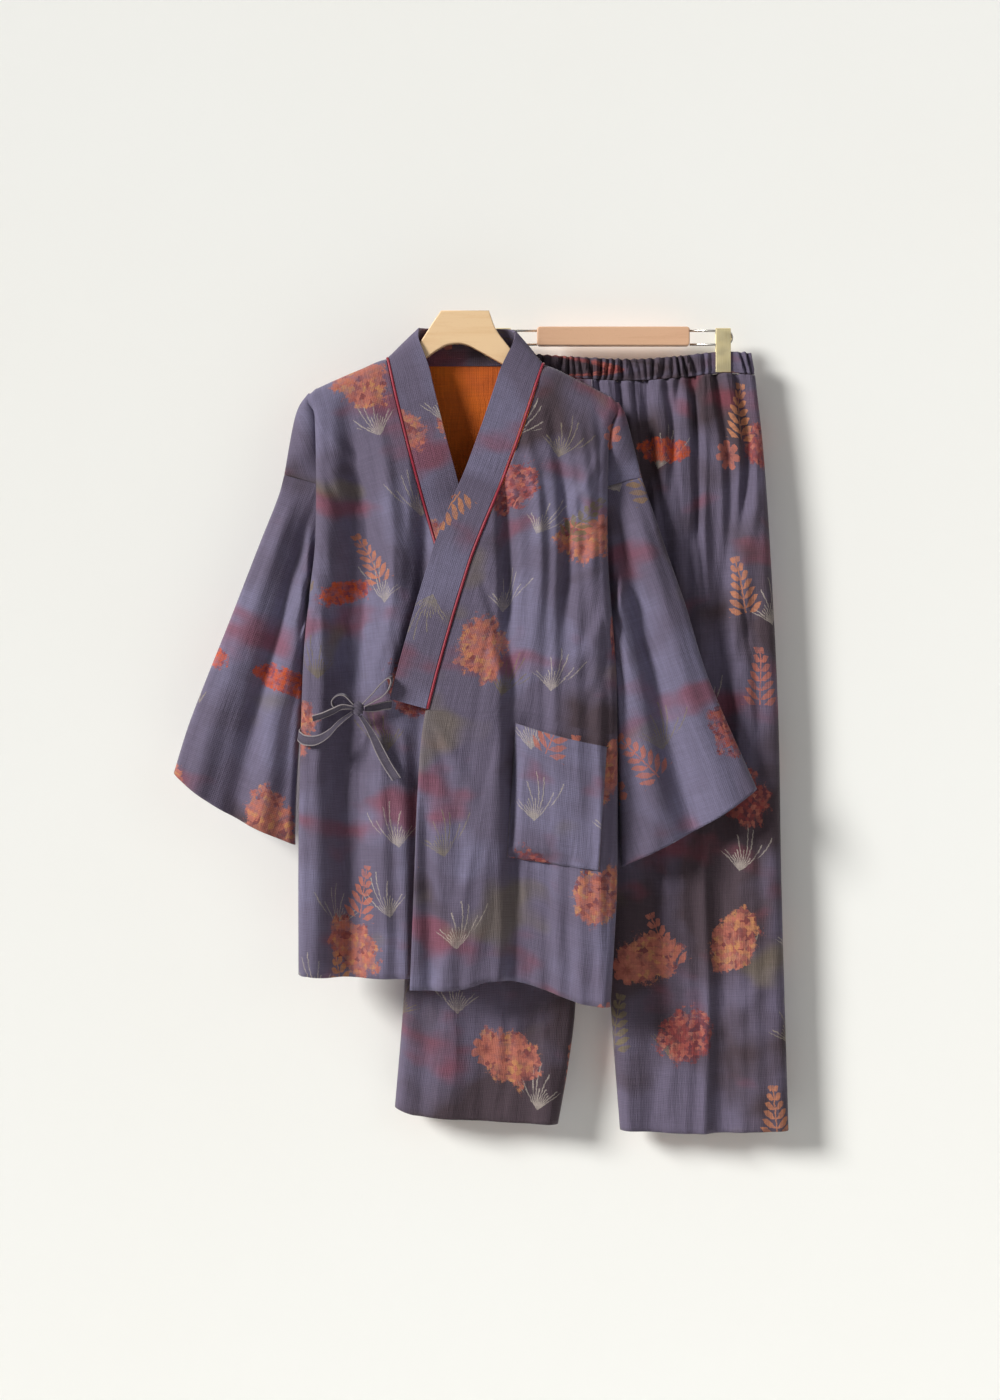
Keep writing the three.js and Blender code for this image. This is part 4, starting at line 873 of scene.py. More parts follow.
def waist_point(k, t):
    """A place on the waistband: k counts half gathers round it, t from its top to its seam."""
    left, right, depth = WAISTBAND["left"], WAISTBAND["right"], WAISTBAND["depth"]
    straight = left - right - 2 * depth
    bend = math.pi * depth
    around = 2 * straight + 2 * bend
    d = (k / (2 * WAISTBAND["gathers"])) * around
    behind = d >= straight + bend
    along = np.where(behind, d - straight - bend, d)
    angle = np.clip((along - straight) / depth, 0, math.pi)
    turned = along > straight
    px = np.where(turned, straight / 2 + depth * np.sin(angle), -straight / 2 + along)
    py = np.where(turned, -depth * np.cos(angle), -depth)
    nx = np.where(turned, np.sin(angle), 0.0)
    ny = np.where(turned, -np.cos(angle), -1.0)
    flip = np.where(behind, -1.0, 1.0)
    px, py, nx, ny = px * flip, py * flip, nx * flip, ny * flip
    x = (left + right) / 2 + px
    from_clip = np.minimum(*(np.abs(x - place) for place in CLIP_PLACES))
    half = CLIP["width"] / 2
    free = step(from_clip, half + 1, half + 16)
    uneven = 1.15 + 0.5 * np.sin(k * 0.83) + 0.3 * np.sin(k * 0.31 + 1)
    lean = 0.5 * np.sin(k * 0.47) * (t - 0.5) * 2 + 0.45 * np.sin(k * 0.71 + 0.6)
    seam = 0.75 + 0.5 * np.sin(math.pi * t) - 0.35 * np.exp(-(((t - 0.9) / 0.05) ** 2))
    wave = np.cos(math.pi * (k + lean))
    narrow = 0.35 * np.cos(2.3 * math.pi * (k - lean) + 1) * np.sin(math.pi * t)
    gather = (wave + narrow - 0.9 * np.clip(-wave, 0, 1) ** 2) * WAISTBAND["gather"]
    gather = gather * uneven * seam
    out = gather * free - 0.3
    y = (py + ny * out) * lerp(CLIP["grip"] / depth, 1, free)
    spread = 1 + WAISTBAND["flare"] * t / (left - right)
    ragged = 0.5 * np.cos(math.pi * k) * (1 - t) * free
    return (
        (left + right) / 2 + (px + nx * out) * spread,
        LEG_PLANE + y,
        waist_top(x) - t * WAISTBAND["height"] + ragged,
    )


# ------------------------------------------------------------------ the neckband's line
def front_station(side, row):
    """The edge, the direction across and the width of the neckband on a front, at a row."""
    edge = np.array(front_point(side, np.array(0.0), np.array(float(row))))
    below = front_point(side, np.array(0.0), np.array(min(row + 1.0, BAND_END_ROW)))
    above = front_point(side, np.array(0.0), np.array(max(row - 1.0, 1.0)))
    down = np.array(below) - np.array(above)
    down[1] = 0
    down /= np.linalg.norm(down)
    return edge, SIGN[side] * np.array([down[2], 0, -down[0]]), BAND_WIDTH


def neck_station(k):
    edge = np.array([read(NECKLINE, "k", key, k) for key in ("x", "y", "z")])
    free = np.array([read(NECKLINE, "k", key, k) for key in ("free_x", "free_y", "free_z")])
    reach = free - edge
    return edge, reach / np.linalg.norm(reach), np.linalg.norm(reach) - PIPING_SPACE


BAND_ROWS = (3, 3.5, 4, 4.5, 5, 5.5, 6, 7, 8, 8.5, 9, 9.5, 10, 11, 11.5, 12, 12.5, 13)
NECK_TURN = {"left": (-40, -3, 30), "right": (41, -2, 27)}


def band_stations():
    def turn(side):
        across = np.array(NECK_TURN[side], float)
        return front_station(side, 1)[0], across / np.linalg.norm(across), 44

    stations = [front_station("left", row) for row in reversed(BAND_ROWS)]
    stations += [turn("left")]
    stations += [neck_station(k) for k in np.linspace(0, 12, 25)]
    stations += [turn("right")]
    stations += [front_station("right", row) for row in BAND_ROWS]
    return [np.array(column, float) for column in zip(*stations)]


def band_lines(per_station=5):
    """The band's edge, across and outward directions, and width, at close, smooth steps."""
    edge, across, width = band_stations()
    count = np.arange(len(edge))
    fine = np.linspace(0, count[-1], (len(count) - 1) * per_station + 1)

    def smooth(column):
        return read({"k": count, "value": column}, "k", "value", fine)

    edge = np.stack([smooth(edge[:, k]) for k in range(3)], 1)
    across = np.stack([smooth(across[:, k]) for k in range(3)], 1)
    across /= np.linalg.norm(across, axis=1)[:, None]
    along = np.gradient(edge, axis=0)
    outward = -np.cross(across, along)
    outward /= np.linalg.norm(outward, axis=1)[:, None]
    return edge, across, outward, smooth(width)


# ------------------------------------------------------------------ making meshes
def evenly(first, last, count):
    return np.linspace(first, last, count + 1)


def lengths(points, axis):
    """The distance along a grid of points, in metres."""
    steps = np.linalg.norm(np.diff(points, axis=axis), axis=2)
    start = np.zeros_like(np.take(steps, [0], axis=axis))
    return np.cumsum(np.concatenate([start, steps], axis=axis), axis=axis)


def cloth(
    name, columns, rows, place, thick, finish,
    flip=False, closed=False, origin=(0, 0), middle=0.5, unrolled=None, centred=False,
):
    """A piece of cloth: a grid of faces over the places that place(columns, rows) gives, with a
    wall as thick as the cloth behind it and a UV map in metres of flat cloth, from the distances
    along the grid or from unrolled(columns, rows, points)."""
    grid_s, grid_t = np.meshgrid(columns, rows)
    points = np.stack(np.broadcast_arrays(*place(grid_s, grid_t)), axis=2) * MM
    down = lengths(points, 0)
    over = lengths(points, 1)
    reference = int(round(middle * (len(columns) - 1)))
    over = over - over[:, [reference]]
    down = np.broadcast_to(down[:, [reference]], down.shape)
    if unrolled:
        over, down = unrolled(grid_s, down, points)
    shape = bmesh.new()
    layer = shape.loops.layers.uv.new("cloth")
    bmesh.ops.create_grid(
        shape, x_segments=len(columns) - 1, y_segments=len(rows) - 1, size=0.5, calc_uvs=False
    )
    flat_uv = {}
    for vert in shape.verts:
        i = int(round((vert.co.x + 0.5) * (len(columns) - 1)))
        j = int(round((vert.co.y + 0.5) * (len(rows) - 1)))
        flat_uv[vert] = (origin[0] + over[j, i], origin[1] - down[j, i])
        vert.co = points[j, i]
    for face in shape.faces:
        face.smooth = True
        for loop in face.loops:
            loop[layer].uv = flat_uv[loop.vert]
    if closed:
        bmesh.ops.remove_doubles(shape, verts=shape.verts, dist=1e-6)
    if flip:
        bmesh.ops.reverse_faces(shape, faces=shape.faces)
    piece = solid(name, shape, finish)
    wall = piece.modifiers.new("wall", "SOLIDIFY")
    wall.thickness = thick * MM
    wall.offset = 0 if centred else -1
    if len(finish) > 1:
        wall.material_offset = 1
        wall.material_offset_rim = len(finish) - 1
    return piece


def solid(name, shape, finish):
    """Makes a finished piece of a bmesh, which rides with the set."""
    mesh = bpy.data.meshes.new(name)
    shape.to_mesh(mesh)
    shape.free()
    piece = bpy.data.objects.new(name, mesh)
    bpy.context.scene.collection.objects.link(piece)
    for material in finish:
        mesh.materials.append(material)
    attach(piece, "root")
    return piece


def rounded(piece, width, segments=3, angle=40):
    """Rounds a piece's sharp edges."""
    bevel = piece.modifiers.new("rounded", "BEVEL")
    bevel.affect, bevel.profile, bevel.material = "EDGES", 0.5, -1
    bevel.width, bevel.segments = width * MM, segments
    bevel.limit_method, bevel.angle_limit = "ANGLE", math.radians(angle)
    return piece


def stands_for(piece, node):
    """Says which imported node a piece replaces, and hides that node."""
    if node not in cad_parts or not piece.data.polygons:
        raise RuntimeError(f"{piece.name} has no node {node} to stand for, or no faces")
    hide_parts(node)
    return piece


def kept(geometry, kind):
    """The items of one kind, BMVert or BMEdge, that an operator gives back."""
    return [item for item in geometry if isinstance(item, kind)]


def tube(name, points, radius, finish, sides=12):
    """A round cord or wire along points in millimetres: a circle, extruded from each to the
    next and turned across the way ahead."""
    points = np.array(points, float) * MM
    shape = bmesh.new()
    circle = {"segments": sides, "radius": radius * MM, "cap_ends": True}
    ring = bmesh.ops.create_circle(shape, **circle)["verts"]
    spots = {vert: vert.co.copy() for vert in ring}
    rim = list(shape.edges)
    side = Vector((0, 1, 0))
    for count, (point, tangent) in enumerate(zip(points, np.gradient(points, axis=0))):
        ahead = Vector(tangent).normalized()
        side = (side - ahead * side.dot(ahead)).normalized()
        up = ahead.cross(side)
        if count:
            made = bmesh.ops.extrude_edge_only(shape, edges=rim)["geom"]
            rim = [edge for edge in kept(made, bmesh.types.BMEdge) if edge.is_boundary]
            spots = {
                vert: spots[edge.other_vert(vert)]
                for vert in kept(made, bmesh.types.BMVert)
                for edge in vert.link_edges
                if edge.other_vert(vert) in spots
            }
        for vert, spot in spots.items():
            vert.co = Vector(point) + side * spot.x + up * spot.y
    bmesh.ops.edgeloop_fill(shape, edges=rim)
    for face in shape.faces:
        face.smooth = len(face.verts) == 4
    bmesh.ops.recalc_face_normals(shape, faces=shape.faces)
    return solid(name, shape, finish)


def plate(outline, along):
    """A bmesh of a closed outline of points in millimetres, extruded by a vector."""
    shape = bmesh.new()
    face = shape.faces.new([shape.verts.new(Vector(point) * MM) for point in outline])
    made = bmesh.ops.extrude_face_region(shape, geom=[face])["geom"]
    bmesh.ops.translate(shape, verts=kept(made, bmesh.types.BMVert), vec=Vector(along) * MM)
    bmesh.ops.recalc_face_normals(shape, faces=shape.faces)
    return shape


# ------------------------------------------------------------------ materials
def linear(code):
    """An sRGB hex colour as linear RGBA."""
    parts = [int(code[i : i + 2], 16) / 255 for i in (1, 3, 5)]
    return (*[c / 12.92 if c <= 0.04045 else ((c + 0.055) / 1.055) ** 2.4 for c in parts], 1)


def add(tree, kind, *inputs, out=0, stops=(), **settings):
    """Adds a node with its settings, and its inputs as values or links, and gives an output.
    Stops are the colours of a ramp, evenly spread over all but its ends."""
    node = tree.nodes.new("ShaderNode" + kind)
    for name, value in settings.items():
        setattr(node, name, value)
    named = inputs[0] if inputs and isinstance(inputs[0], dict) else dict(enumerate(inputs))
    for key, value in named.items():
        if isinstance(value, bpy.types.NodeSocket):
            tree.links.new(value, node.inputs[key])
        else:
            node.inputs[key].default_value = value
    for k, code in enumerate(stops):
        marks = node.color_ramp.elements
        while len(marks) < len(stops):
            marks.new(0.5)
        marks[k].position = 0.15 + 0.7 * k / (len(stops) - 1)
        marks[k].color = linear(code)
    return node.outputs[out]


def material(name, roughness, metallic=0.0, sheen=0.0, coat=0.0, ior=1.5):
    """A material with one shader, whose steady values are set on the shader itself."""
    made = bpy.data.materials.new(name)
    made.use_nodes = True
    shader = made.node_tree.nodes["Principled BSDF"]
    shader.inputs["Roughness"].default_value = roughness
    shader.inputs["Metallic"].default_value = metallic
    shader.inputs["Sheen Weight"].default_value = sheen
    shader.inputs["Sheen Roughness"].default_value = 0.4
    shader.inputs["Coat Weight"].default_value = coat
    shader.inputs["IOR"].default_value = ior
    return made, made.node_tree, shader


def scatter(tree, place, pitch, seed, lean):
    """Cells of a scattered pattern: x and y in each cell, in shares of the pitch from its
    middle and turned by up to lean, and two random numbers of the cell."""
    moved = (seed, 1.7 * seed, 0)
    scaled = add(tree, "VectorMath", place, (1 / pitch,) * 3, moved, operation="MULTIPLY_ADD")
    cell = {"Vector": scaled, "Scale": 1, "Randomness": 0.7}
    centre = add(tree, "TexVoronoi", cell, voronoi_dimensions="2D", out="Position")
    local = add(tree, "VectorMath", scaled, centre, operation="SUBTRACT")
    picks = add(tree, "SeparateColor", centre.node.outputs["Color"])
    angle = add(tree, "MapRange", picks, 0, 1, -lean, lean)
    turned = add(tree, "VectorRotate", {"Vector": local, "Angle": angle}, rotation_type="Z_AXIS")
    x = add(tree, "SeparateXYZ", turned)
    numbers = {"pick": picks.node.outputs[1], "tone": picks.node.outputs[2]}
    return {"place": place, "turned": turned, "x": x, "y": x.node.outputs[1], **numbers}


def sprig(tree, cell):
    """A stem with slanting pairs of leaves that shorten towards its tip."""
    aside = add(tree, "Math", cell["x"], operation="ABSOLUTE")
    slanted = add(tree, "Math", aside, -0.75, cell["y"], operation="MULTIPLY_ADD")
    steps = add(tree, "Math", slanted, 9.0, operation="MULTIPLY")
    part = add(tree, "Math", steps, operation="FRACT")
    off = add(tree, "Math", part, 0.5, operation="SUBTRACT")
    off = add(tree, "Math", off, operation="ABSOLUTE")
    length = add(tree, "MapRange", cell["y"], -0.3, 0.36, 0.24, 0.05)
    ratio = add(tree, "Math", aside, length, operation="DIVIDE", use_clamp=True)
    curve = add(tree, "Math", ratio, math.pi, operation="MULTIPLY")
    curve = add(tree, "Math", curve, operation="SINE")
    edge = add(tree, "Math", curve, 0.42, operation="MULTIPLY")
    edge = add(tree, "Math", edge, off, operation="SUBTRACT")
    leaves = add(tree, "MapRange", edge, 0.0, 0.05, 0, 1)
    far = add(tree, "Math", cell["y"], operation="ABSOLUTE")
    inside = add(tree, "Math", far, 0.33, operation="LESS_THAN")
    stem = add(tree, "Math", aside, 0.008, operation="LESS_THAN")
    both = add(tree, "Math", leaves, stem, operation="MAXIMUM")
    return add(tree, "Math", both, inside, operation="MULTIPLY"), cell["tone"]


def tuft(tree, cell):
    """A fan of thin blades of grass from one root."""
    x = cell["x"]
    up = add(tree, "Math", cell["y"], 0.3, operation="ADD")
    angle = add(tree, "Math", x, up, operation="ARCTAN2")
    aside = add(tree, "Math", x, x, operation="MULTIPLY")
    reach = add(tree, "Math", up, up, aside, operation="MULTIPLY_ADD")
    reach = add(tree, "Math", reach, operation="SQRT")
    bent = add(tree, "Math", reach, 0.5, angle, operation="MULTIPLY_ADD")
    blades = add(tree, "Math", bent, 6.5, operation="MULTIPLY")
    off = add(tree, "Math", blades, operation="FRACT")
    off = add(tree, "Math", off, 0.5, operation="SUBTRACT")
    off = add(tree, "Math", off, operation="ABSOLUTE")
    off = add(tree, "Math", off, reach, operation="MULTIPLY")
    thin = add(tree, "Math", off, 0.045, operation="LESS_THAN")
    index = add(tree, "Math", blades, operation="FLOOR")
    tall = add(tree, "TexWhiteNoise", {"W": index}, noise_dimensions="1D")
    limit = add(tree, "MapRange", tall, 0, 1, 0.2, 0.62)
    short = add(tree, "Math", reach, limit, operation="LESS_THAN")
    fan = add(tree, "Math", angle, operation="ABSOLUTE")
    fan = add(tree, "Math", fan, 0.85, operation="LESS_THAN")
    both = add(tree, "Math", thin, short, operation="MULTIPLY")
    return add(tree, "Math", both, fan, operation="MULTIPLY"), cell["tone"]


def spray(tree, cell, fineness, stretch, seed):
    """A loose cluster of small leaves inside a ragged oval."""
    place = cell["place"]
    oval = add(tree, "VectorMath", cell["turned"], stretch, operation="MULTIPLY")
    reach = add(tree, "VectorMath", oval, operation="LENGTH", out="Value")
    ragged = {"Vector": place, "Scale": 42.0 + seed, "Detail": 5.0, "Roughness": 0.78}
    ragged = add(tree, "TexNoise", ragged)
    edge = add(tree, "Math", ragged, 0.62, reach, operation="MULTIPLY_ADD")
    body = add(tree, "MapRange", edge, 0.63, 0.60, 0, 1)
    leaf = {"Vector": place, "Scale": fineness, "Randomness": 1.0, "Exponent": 0.85}
    pointed = {"voronoi_dimensions": "2D", "distance": "MINKOWSKI"}
    near = add(tree, "TexVoronoi", leaf, out="Distance", **pointed)
    gaps = add(tree, "MapRange", near, 0.78, 0.60, 0.45, 1)
    inner = add(tree, "MapRange", edge, 0.72, 0.52, 0.25, 1)
    filled = add(tree, "Math", gaps, inner, operation="MAXIMUM")
    return add(tree, "Math", body, filled, operation="MULTIPLY"), near.node.outputs["Color"]


def flower(tree, cell, petals, size):
    """A round flower of notched petals, shaded by how far out each place lies on it."""
    x, y = cell["x"], cell["y"]
    angle = add(tree, "Math", y, x, operation="ARCTAN2")
    lobes = add(tree, "Math", angle, petals / 2, operation="MULTIPLY")
    lobes = add(tree, "Math", lobes, operation="COSINE")
    lobes = add(tree, "Math", lobes, operation="ABSOLUTE")
    edge = add(tree, "MapRange", lobes, 0, 0.8, 0.55 * size, size)
    aside = add(tree, "Math", x, x, operation="MULTIPLY")
    reach = add(tree, "Math", y, y, aside, operation="MULTIPLY_ADD")
    reach = add(tree, "Math", reach, operation="SQRT")
    inside = add(tree, "Math", reach, edge, operation="LESS_THAN")
    return inside, add(tree, "Math", reach, edge, operation="DIVIDE", use_clamp=True)


def gauze_surface(tree, shader, place, colour, depth):
    """Washed double gauze: short ripples down the cloth, and the plain weave drawn at 1.1 mm,
    three times its true pitch, because the real one is too fine to show. The colour is lighter on
    the ripples' crests and darker in their hollows: painted highlight and painted shade."""
    streaks = [
        add(tree, "Mapping", {"Vector": place, "Scale": stretch})
        for stretch in ((1, 0.1, 1), (1, 0.03, 1), (0.05, 1, 1))
    ]
    rough = {"Vector": streaks[0], "Scale": 260.0, "Detail": 3.0, "Roughness": 0.6}
    ripples = add(tree, "TexNoise", rough)
    slubs = add(tree, "TexNoise", {"Vector": streaks[1], "Scale": 520.0, "Detail": 2.0})
    cross_slubs = add(tree, "TexNoise", {"Vector": streaks[2], "Scale": 520.0, "Detail": 1.0})
    warp, weft = (
        add(tree, "TexWave", {"Vector": place, "Scale": 143.0}, bands_direction=way)
        for way in "XY"
    )
    weave = add(tree, "Math", warp, weft, operation="MAXIMUM")
    height = add(tree, "Math", ripples, 3.0, weave, operation="MULTIPLY_ADD")
    bump = add(tree, "Bump", {"Strength": 0.55, "Distance": depth, "Height": height})
    tree.links.new(bump, shader.inputs["Normal"])
    threads = add(tree, "Math", slubs, cross_slubs, operation="ADD")
    threads = add(tree, "MapRange", threads, 0.6, 1.4, 0.86, 1.14)
    # rubbed is painted light and shade: the colour follows the ripples' height, lighter on their
    # crests and darker in their hollows.
    rubbed = add(tree, "MapRange", ripples, 0.3, 0.75, 0.92, 1.10)
    for shade in (threads, rubbed):
        colour = add(tree, "VectorMath", {0: colour, 3: shade}, operation="SCALE")
    tree.links.new(colour, shader.inputs["Base Color"])


def washes(dyes):
    """Each wash: its noise's stretch, shift, scale, detail and roughness, where it starts and is
    full, its dye and how strong it is."""
    return (
        ((0.72, 1.15, 1), (3.1, 0.4, 0), (9.5, 2.5, 0.6), (0.54, 0.69), dyes.wash_red, 0.62),
        ((0.9, 1.1, 1), (7.7, 2.2, 0), (8.0, 2.0, 0.5), (0.62, 0.72), dyes.wash_olive, 0.55),
    )


def motifs(dyes):
    """Each scattering: its pitch in metres, seed and lean, and what is drawn in its cells, with
    its details, the cells that have it, how strong it is and its tones."""
    line, salmon, bright = dyes.line, dyes.salmon, dyes.bright
    rust = ("#7c3b3a", salmon, salmon, dyes.orange)
    crimson = ("#5e2a35", "#8d3a38", salmon)
    stroke = (dyes.wash_red, bright, bright)
    ochre = (dyes.wash_olive, dyes.orange, salmon)
    petals = ("#7a3b36", salmon, salmon)
    grass = (dyes.wash_olive, line, line)
    return (
        # Grass tufts, drawn in a pale line.
        ((0.105, 3.3, 0.25), ((tuft, (), (0.25, 0.60), 0.75, grass),)),
        # Leaf sprays: loose heads of small pointed leaves.
        (
            (0.15, 1.7, 1.2),
            (
                (spray, (170.0, (1.05, 1.55, 1), 0), (0.0, 0.27), 1.0, rust),
                (spray, (210.0, (1.5, 1.25, 1), 17), (0.42, 0.62), 1.0, crimson),
            ),
        ),
        # Low bright brush strokes.
        ((0.17, 9.1, 0.12), ((spray, (240.0, (1.3, 3.3, 1), 30), (0.0, 0.18), 1.0, stroke),)),
        # Sprigs, in ochre and olive.
        ((0.11, 5.9, 0.5), ((sprig, (), (0.62, 0.86), 0.9, ochre),)),
        # Flat round flowers with a darker eye.
        ((0.13, 12.4, 0.6), ((flower, (7.0, 0.15), (0.70, 0.86), 0.9, petals),)),
    )


def printed_cotton(name, deep, pale):
    """Cotton double gauze, screen printed and washed: dull, with a soft bloom at the edges of
    folds, uneven ink and fine ripples down the cloth. The print is scattered sprigs, leaf
    sprays, flowers and grass on a slate-purple ground with soft washes."""
    dyes = bpy.context.scene.pajama_dyes
    made, tree, shader = material(name, 0.86, sheen=0.12)
    place = add(tree, "UVMap", uv_map="cloth")
    # The ground drifts from a bluish slate to a brownish plum.
    drift = {"Vector": place, "Scale": 5.2, "Detail": 3.0, "Roughness": 0.5}
    clouds = add(tree, "TexNoise", drift)
    clouds = add(tree, "MapRange", clouds, deep, pale, 0, 1)
    grounds = (dyes.ground_dark, dyes.ground, dyes.ground, dyes.ground_light)
    colour = add(tree, "ValToRGB", clouds, stops=grounds)
    for stretch, shift, (scale, detail, rough), (start, full), dye, strength in washes(dyes):
        smears = add(tree, "Mapping", {"Vector": place, "Scale": stretch, "Location": shift})
        wash = {"Vector": smears, "Scale": scale, "Detail": detail, "Roughness": rough}
        wash = add(tree, "TexNoise", wash)
        soft = {"interpolation_type": "SMOOTHSTEP"}
        wash = add(tree, "MapRange", wash, start, full, 0, strength, **soft)
        colour = add(tree, "Mix", {0: wash, 6: colour, 7: linear(dye)}, data_type="RGBA", out=2)
    # The ink is thin in places, and its edges wander.
    ink = add(tree, "TexNoise", {"Vector": place, "Scale": 85.0, "Detail": 3.0, "Roughness": 0.7})
    ink = add(tree, "MapRange", ink, 0.34, 0.58, 0.5, 1.0)
    wander = add(tree, "TexNoise", {"Vector": place, "Scale": 240.0, "Detail": 2.0}, out="Color")
    drawn = add(tree, "VectorMath", wander, (0.0035,) * 3, place, operation="MULTIPLY_ADD")
    for (pitch, seed, lean), drawings in motifs(dyes):
        cell = scatter(tree, drawn, pitch, seed, lean)
        for draw, details, (low, high), strength, codes in drawings:
            mask, shade = draw(tree, cell, *details)
            above = add(tree, "Math", cell["pick"], low, operation="GREATER_THAN")
            below = add(tree, "Math", cell["pick"], high, operation="LESS_THAN")
            for share in (ink, above, below, strength):
                mask = add(tree, "Math", mask, share, operation="MULTIPLY")
            inked = add(tree, "ValToRGB", shade, stops=codes)
            colour = add(tree, "Mix", {0: mask, 6: colour, 7: inked}, data_type="RGBA", out=2)
    gauze_surface(tree, shader, place, colour, 0.0006)
    return made


def cotton_reverse():
    """The same cloth's reverse, where the orange dye has soaked through: duller and blotched."""
    made, tree, shader = material("reverse of printed double gauze", 0.9, sheen=0.15)
    place = add(tree, "UVMap", uv_map="cloth")
    drift = {"Vector": place, "Scale": 7.0, "Detail": 3.0, "Roughness": 0.6}
    clouds = add(tree, "TexNoise", drift)
    colour = add(tree, "ValToRGB", clouds, stops=("#8a3216", "#cf6410", "#ea8a1c"))
    gauze_surface(tree, shader, place, colour, 0.0006)
    return made


def cotton_fold():
    """The turned edge of the cloth, where washing has rubbed the dye paler."""
    made, tree, shader = material("worn fold of double gauze", 0.9, sheen=0.1)
    place = add(tree, "TexCoord", out="Object")
    clouds = add(tree, "TexNoise", {"Vector": place, "Scale": 90.0, "Detail": 3.0})
    colour = add(tree, "ValToRGB", clouds, stops=("#6a6072", "#978a90"))
    tree.links.new(colour, shader.inputs["Base Color"])
    return made


def plain_cotton():
    """Plain slate cotton for the ties: dull, tightly woven, paler where its edges rub."""
    dyes = bpy.context.scene.pajama_dyes
    made, tree, shader = material("plain slate cotton", 0.85, sheen=0.25)
    place = add(tree, "UVMap", uv_map="cloth")
    across = add(tree, "SeparateXYZ", place)
    off = add(tree, "Math", across, operation="ABSOLUTE")
    worn = add(tree, "MapRange", off, 0.0043, 0.0052, 0, 0.6)
    seam = add(tree, "Math", off, 0.0036, 0.0004, operation="COMPARE")
    seam = add(tree, "MapRange", seam, 0, 1, 0, 0.5)
    clouds = add(tree, "TexNoise", {"Vector": place, "Scale": 60.0, "Detail": 3.0})
    colour = add(tree, "ValToRGB", clouds, stops=(dyes.tie_dark, dyes.tie))
    for share, code in ((worn, dyes.tie_edge), (seam, dyes.tie_dark)):
        colour = add(tree, "Mix", {0: share, 6: colour, 7: linear(code)}, data_type="RGBA", out=2)
    gauze_surface(tree, shader, place, colour, 0.0003)
    return made


def piping_satin():
    """Crimson satin bias over a cord: a soft gloss along it and a twill drawn slanting."""
    dyes = bpy.context.scene.pajama_dyes
    made, tree, shader = material("crimson satin piping", 0.5, sheen=0.3)
    place = add(tree, "TexCoord", out="Object")
    slanted = add(tree, "Mapping", {"Vector": place, "Rotation": (0, 0.8, 0)})
    twill = add(tree, "TexWave", {"Vector": slanted, "Scale": 260.0, "Distortion": 0.6})
    blotch = add(tree, "TexNoise", {"Vector": place, "Scale": 35.0, "Detail": 2.0})
    colour = add(tree, "ValToRGB", blotch, stops=(dyes.piping_dark, dyes.piping))
    tree.links.new(colour, shader.inputs["Base Color"])
    bump = add(tree, "Bump", {"Strength": 0.3, "Distance": 0.0002, "Height": twill})
    tree.links.new(bump, shader.inputs["Normal"])
    return made


def beech(name, pale, dark, fleck):
    """Steamed beech, sanded and varnished: fine grain lines along it, short dark flecks, and a
    thin gloss over a dull ground."""
    made, tree, shader = material(name, 0.42, coat=0.25)
    place = add(tree, "TexCoord", out="Object")
    along = add(tree, "Mapping", {"Vector": place, "Scale": (1, 14, 14)})
    lines = {"Vector": along, "Scale": 9.0, "Detail": 5.0, "Roughness": 0.65, "Distortion": 0.4}
    grain = add(tree, "TexNoise", lines)
    colour = add(tree, "ValToRGB", grain, stops=(dark, pale, pale))
    ticks = add(tree, "Mapping", {"Vector": place, "Scale": (120, 900, 900)})
    cells = {"Vector": ticks, "Scale": 1.0, "Randomness": 1.0}
    ticks = add(tree, "TexVoronoi", cells, out="Distance")
    ticks = add(tree, "MapRange", ticks, 0.16, 0.08, 0, 0.4)
    colour = add(tree, "Mix", {0: ticks, 6: colour, 7: linear(fleck)}, data_type="RGBA", out=2)
    tree.links.new(colour, shader.inputs["Base Color"])
    bump = add(tree, "Bump", {"Strength": 0.12, "Distance": 0.0002, "Height": grain})
    tree.links.new(bump, shader.inputs["Normal"])
    return made


def metal(name, light, dark, roughness, brushed):
    """Plated metal: brushed along its length, with faint finger marks in its gloss."""
    made, tree, shader = material(name, roughness, metallic=1.0)
    place = add(tree, "TexCoord", out="Object")
    lines = add(tree, "Mapping", {"Vector": place, "Scale": brushed})
    lines = add(tree, "TexNoise", {"Vector": lines, "Scale": 60.0, "Detail": 3.0})
    colour = add(tree, "ValToRGB", lines, stops=(dark, light))
    tree.links.new(colour, shader.inputs["Base Color"])
    marks = add(tree, "TexNoise", {"Vector": place, "Scale": 70.0, "Detail": 2.0})
    gloss = add(tree, "MapRange", marks, 0.3, 0.7, roughness - 0.08, roughness + 0.1)
    tree.links.new(gloss, shader.inputs["Roughness"])
    bump = add(tree, "Bump", {"Strength": 0.1, "Distance": 0.0001, "Height": lines})
    tree.links.new(bump, shader.inputs["Normal"])
    return made


def finish(name, maker, *details):
    """A material that is made once and shared."""
    return bpy.data.materials.get(name) or maker(*details)


def garment_cloth(garment="jacket"):
    """The printed cloth. The trousers' copy is darker than the jacket's: painted shade, for the
    shadow that the trousers hang in.
    """
    name = f"printed cotton double gauze, {garment}"
    # The trousers' darker range of the ground is painted shade, not a deeper dye.
    deep, pale = {"jacket": (0.26, 0.62), "trousers": (0.38, 0.84)}[garment]
    return [
        finish(name, printed_cotton, name, deep, pale),
        finish("reverse of printed double gauze", cotton_reverse),
        finish("worn fold of double gauze", cotton_fold),
    ]


# ------------------------------------------------------------------ settings
def length(name, size, description):
    """A size setting in metres."""
    kind = {"name": name, "description": description, "unit": "LENGTH"}
    return bpy.props.FloatProperty(default=size, **kind)


